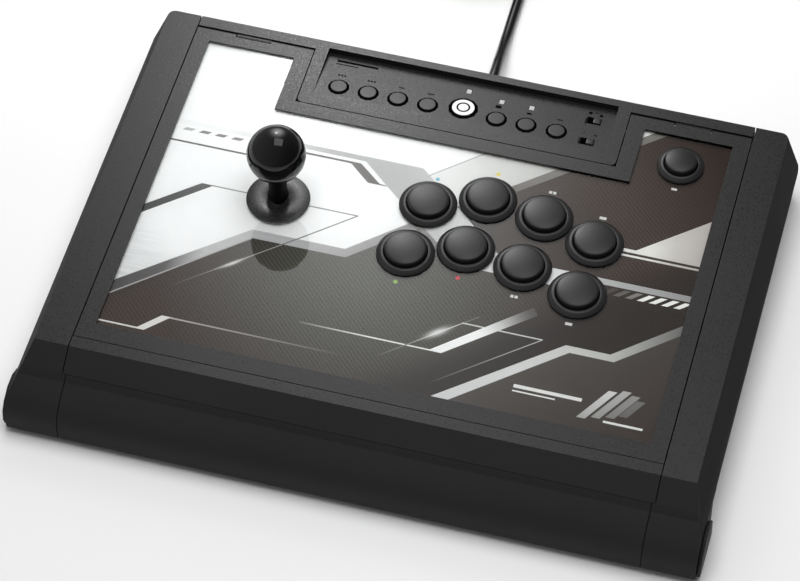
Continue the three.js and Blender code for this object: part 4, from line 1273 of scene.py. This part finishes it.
world = bpy.data.worlds.new("studio")
SCENE.world = world
world.use_nodes = True
wt = world.node_tree
wt.nodes.clear()
wout = wt.nodes.new("ShaderNodeOutputWorld")
lp = wt.nodes.new("ShaderNodeLightPath")
coord = wt.nodes.new("ShaderNodeTexCoord")
sep = wt.nodes.new("ShaderNodeSeparateXYZ")
wt.links.new(coord.outputs["Generated"], sep.inputs[0])
grad = wt.nodes.new("ShaderNodeMapRange")
grad.inputs["From Min"].default_value = -0.9
grad.inputs["From Max"].default_value = 0.9
grad.inputs["To Min"].default_value = WORLD_LEFT = 0.36
grad.inputs["To Max"].default_value = WORLD_RIGHT = 0.07
wt.links.new(sep.outputs["X"], grad.inputs["Value"])
studio = wt.nodes.new("ShaderNodeBackground")
wt.links.new(grad.outputs["Result"], studio.inputs["Strength"])
studio.inputs["Color"].default_value = (1, 1, 1, 1)
pale = wt.nodes.new("ShaderNodeBackground")
pale.inputs["Color"].default_value = (0.97, 0.97, 0.97, 1)
mixw = wt.nodes.new("ShaderNodeMixShader")
wt.links.new(lp.outputs["Is Camera Ray"], mixw.inputs[0])
wt.links.new(studio.outputs[0], mixw.inputs[1])
wt.links.new(pale.outputs[0], mixw.inputs[2])
wt.links.new(mixw.outputs[0], wout.inputs[0])


def area(name, loc, target, size, radiance, falloff=None, size_y=None, glossy=True, stretch=1.0):
    """A square softbox of a given radiance; falloff gives it a soft round edge of that radius in metres."""
    l = bpy.data.lights.new(name, "AREA")
    l.shape = "RECTANGLE" if size_y else "SQUARE"
    l.size = size
    if size_y:
        l.size_y = size_y
    l.energy = radiance * math.pi * size * (size_y or size)
    o = bpy.data.objects.new(name, l)
    SCENE.collection.objects.link(o)
    o.location = loc
    o.rotation_euler = (Vector(target) - Vector(loc)).to_track_quat("-Z", "Y").to_euler()
    if falloff:
        l.use_nodes = True
        t = l.node_tree
        em = t.nodes["Emission"]
        geo = t.nodes.new("ShaderNodeNewGeometry")
        sub = t.nodes.new("ShaderNodeVectorMath")
        sub.operation = "SUBTRACT"
        t.links.new(geo.outputs["Parametric"], sub.inputs[0])
        sub.inputs[1].default_value = (0.5, 0.5, 0.0)
        sc = t.nodes.new("ShaderNodeVectorMath")
        sc.operation = "MULTIPLY"
        t.links.new(sub.outputs[0], sc.inputs[0])
        sc.inputs[1].default_value = (size / falloff, (size_y or size) / falloff / stretch, 0)
        dot_ = t.nodes.new("ShaderNodeVectorMath")
        dot_.operation = "DOT_PRODUCT"
        t.links.new(sc.outputs[0], dot_.inputs[0])
        t.links.new(sc.outputs[0], dot_.inputs[1])
        neg = t.nodes.new("ShaderNodeMath")
        neg.operation = "MULTIPLY"
        neg.inputs[1].default_value = -1
        t.links.new(dot_.outputs["Value"], neg.inputs[0])
        ex = t.nodes.new("ShaderNodeMath")
        ex.operation = "EXPONENT"
        t.links.new(neg.outputs[0], ex.inputs[0])
        t.links.new(ex.outputs[0], em.inputs["Strength"])
    l.cycles.cast_shadow = True
    o.visible_glossy = glossy
    return o


def mirror_only(name, loc, target, size, radiance, falloff=None, roll=0):
    """A softbox that shows in shiny surfaces only."""
    o = area(name, loc, target, size, radiance, falloff)
    o.visible_diffuse = False
    o.rotation_euler = (o.rotation_euler.to_matrix() @ Matrix.Rotation(math.radians(roll), 3, "Z")).to_euler()
    return o


area("key_overhead", (0.08, 0.02, 1.60), (0, 0, 0), 1.30, 4.05, glossy=False)
mirror_only("softbox_overhead", (0.077, 0.276, 1.455), (-0.088, 0.0225, 0.089), 0.74, 1.7, roll=45)
mirror_only("spark_rear", (-0.227, 0.552, 0.556), (-0.088, 0.0225, 0.089), 0.20, 22.0, falloff=0.035)
area("sheen_rear", (-0.172, 0.490, 0.430), (-0.045, 0.10, 0.0485), 0.66, 5.1, falloff=0.14, stretch=1.45)
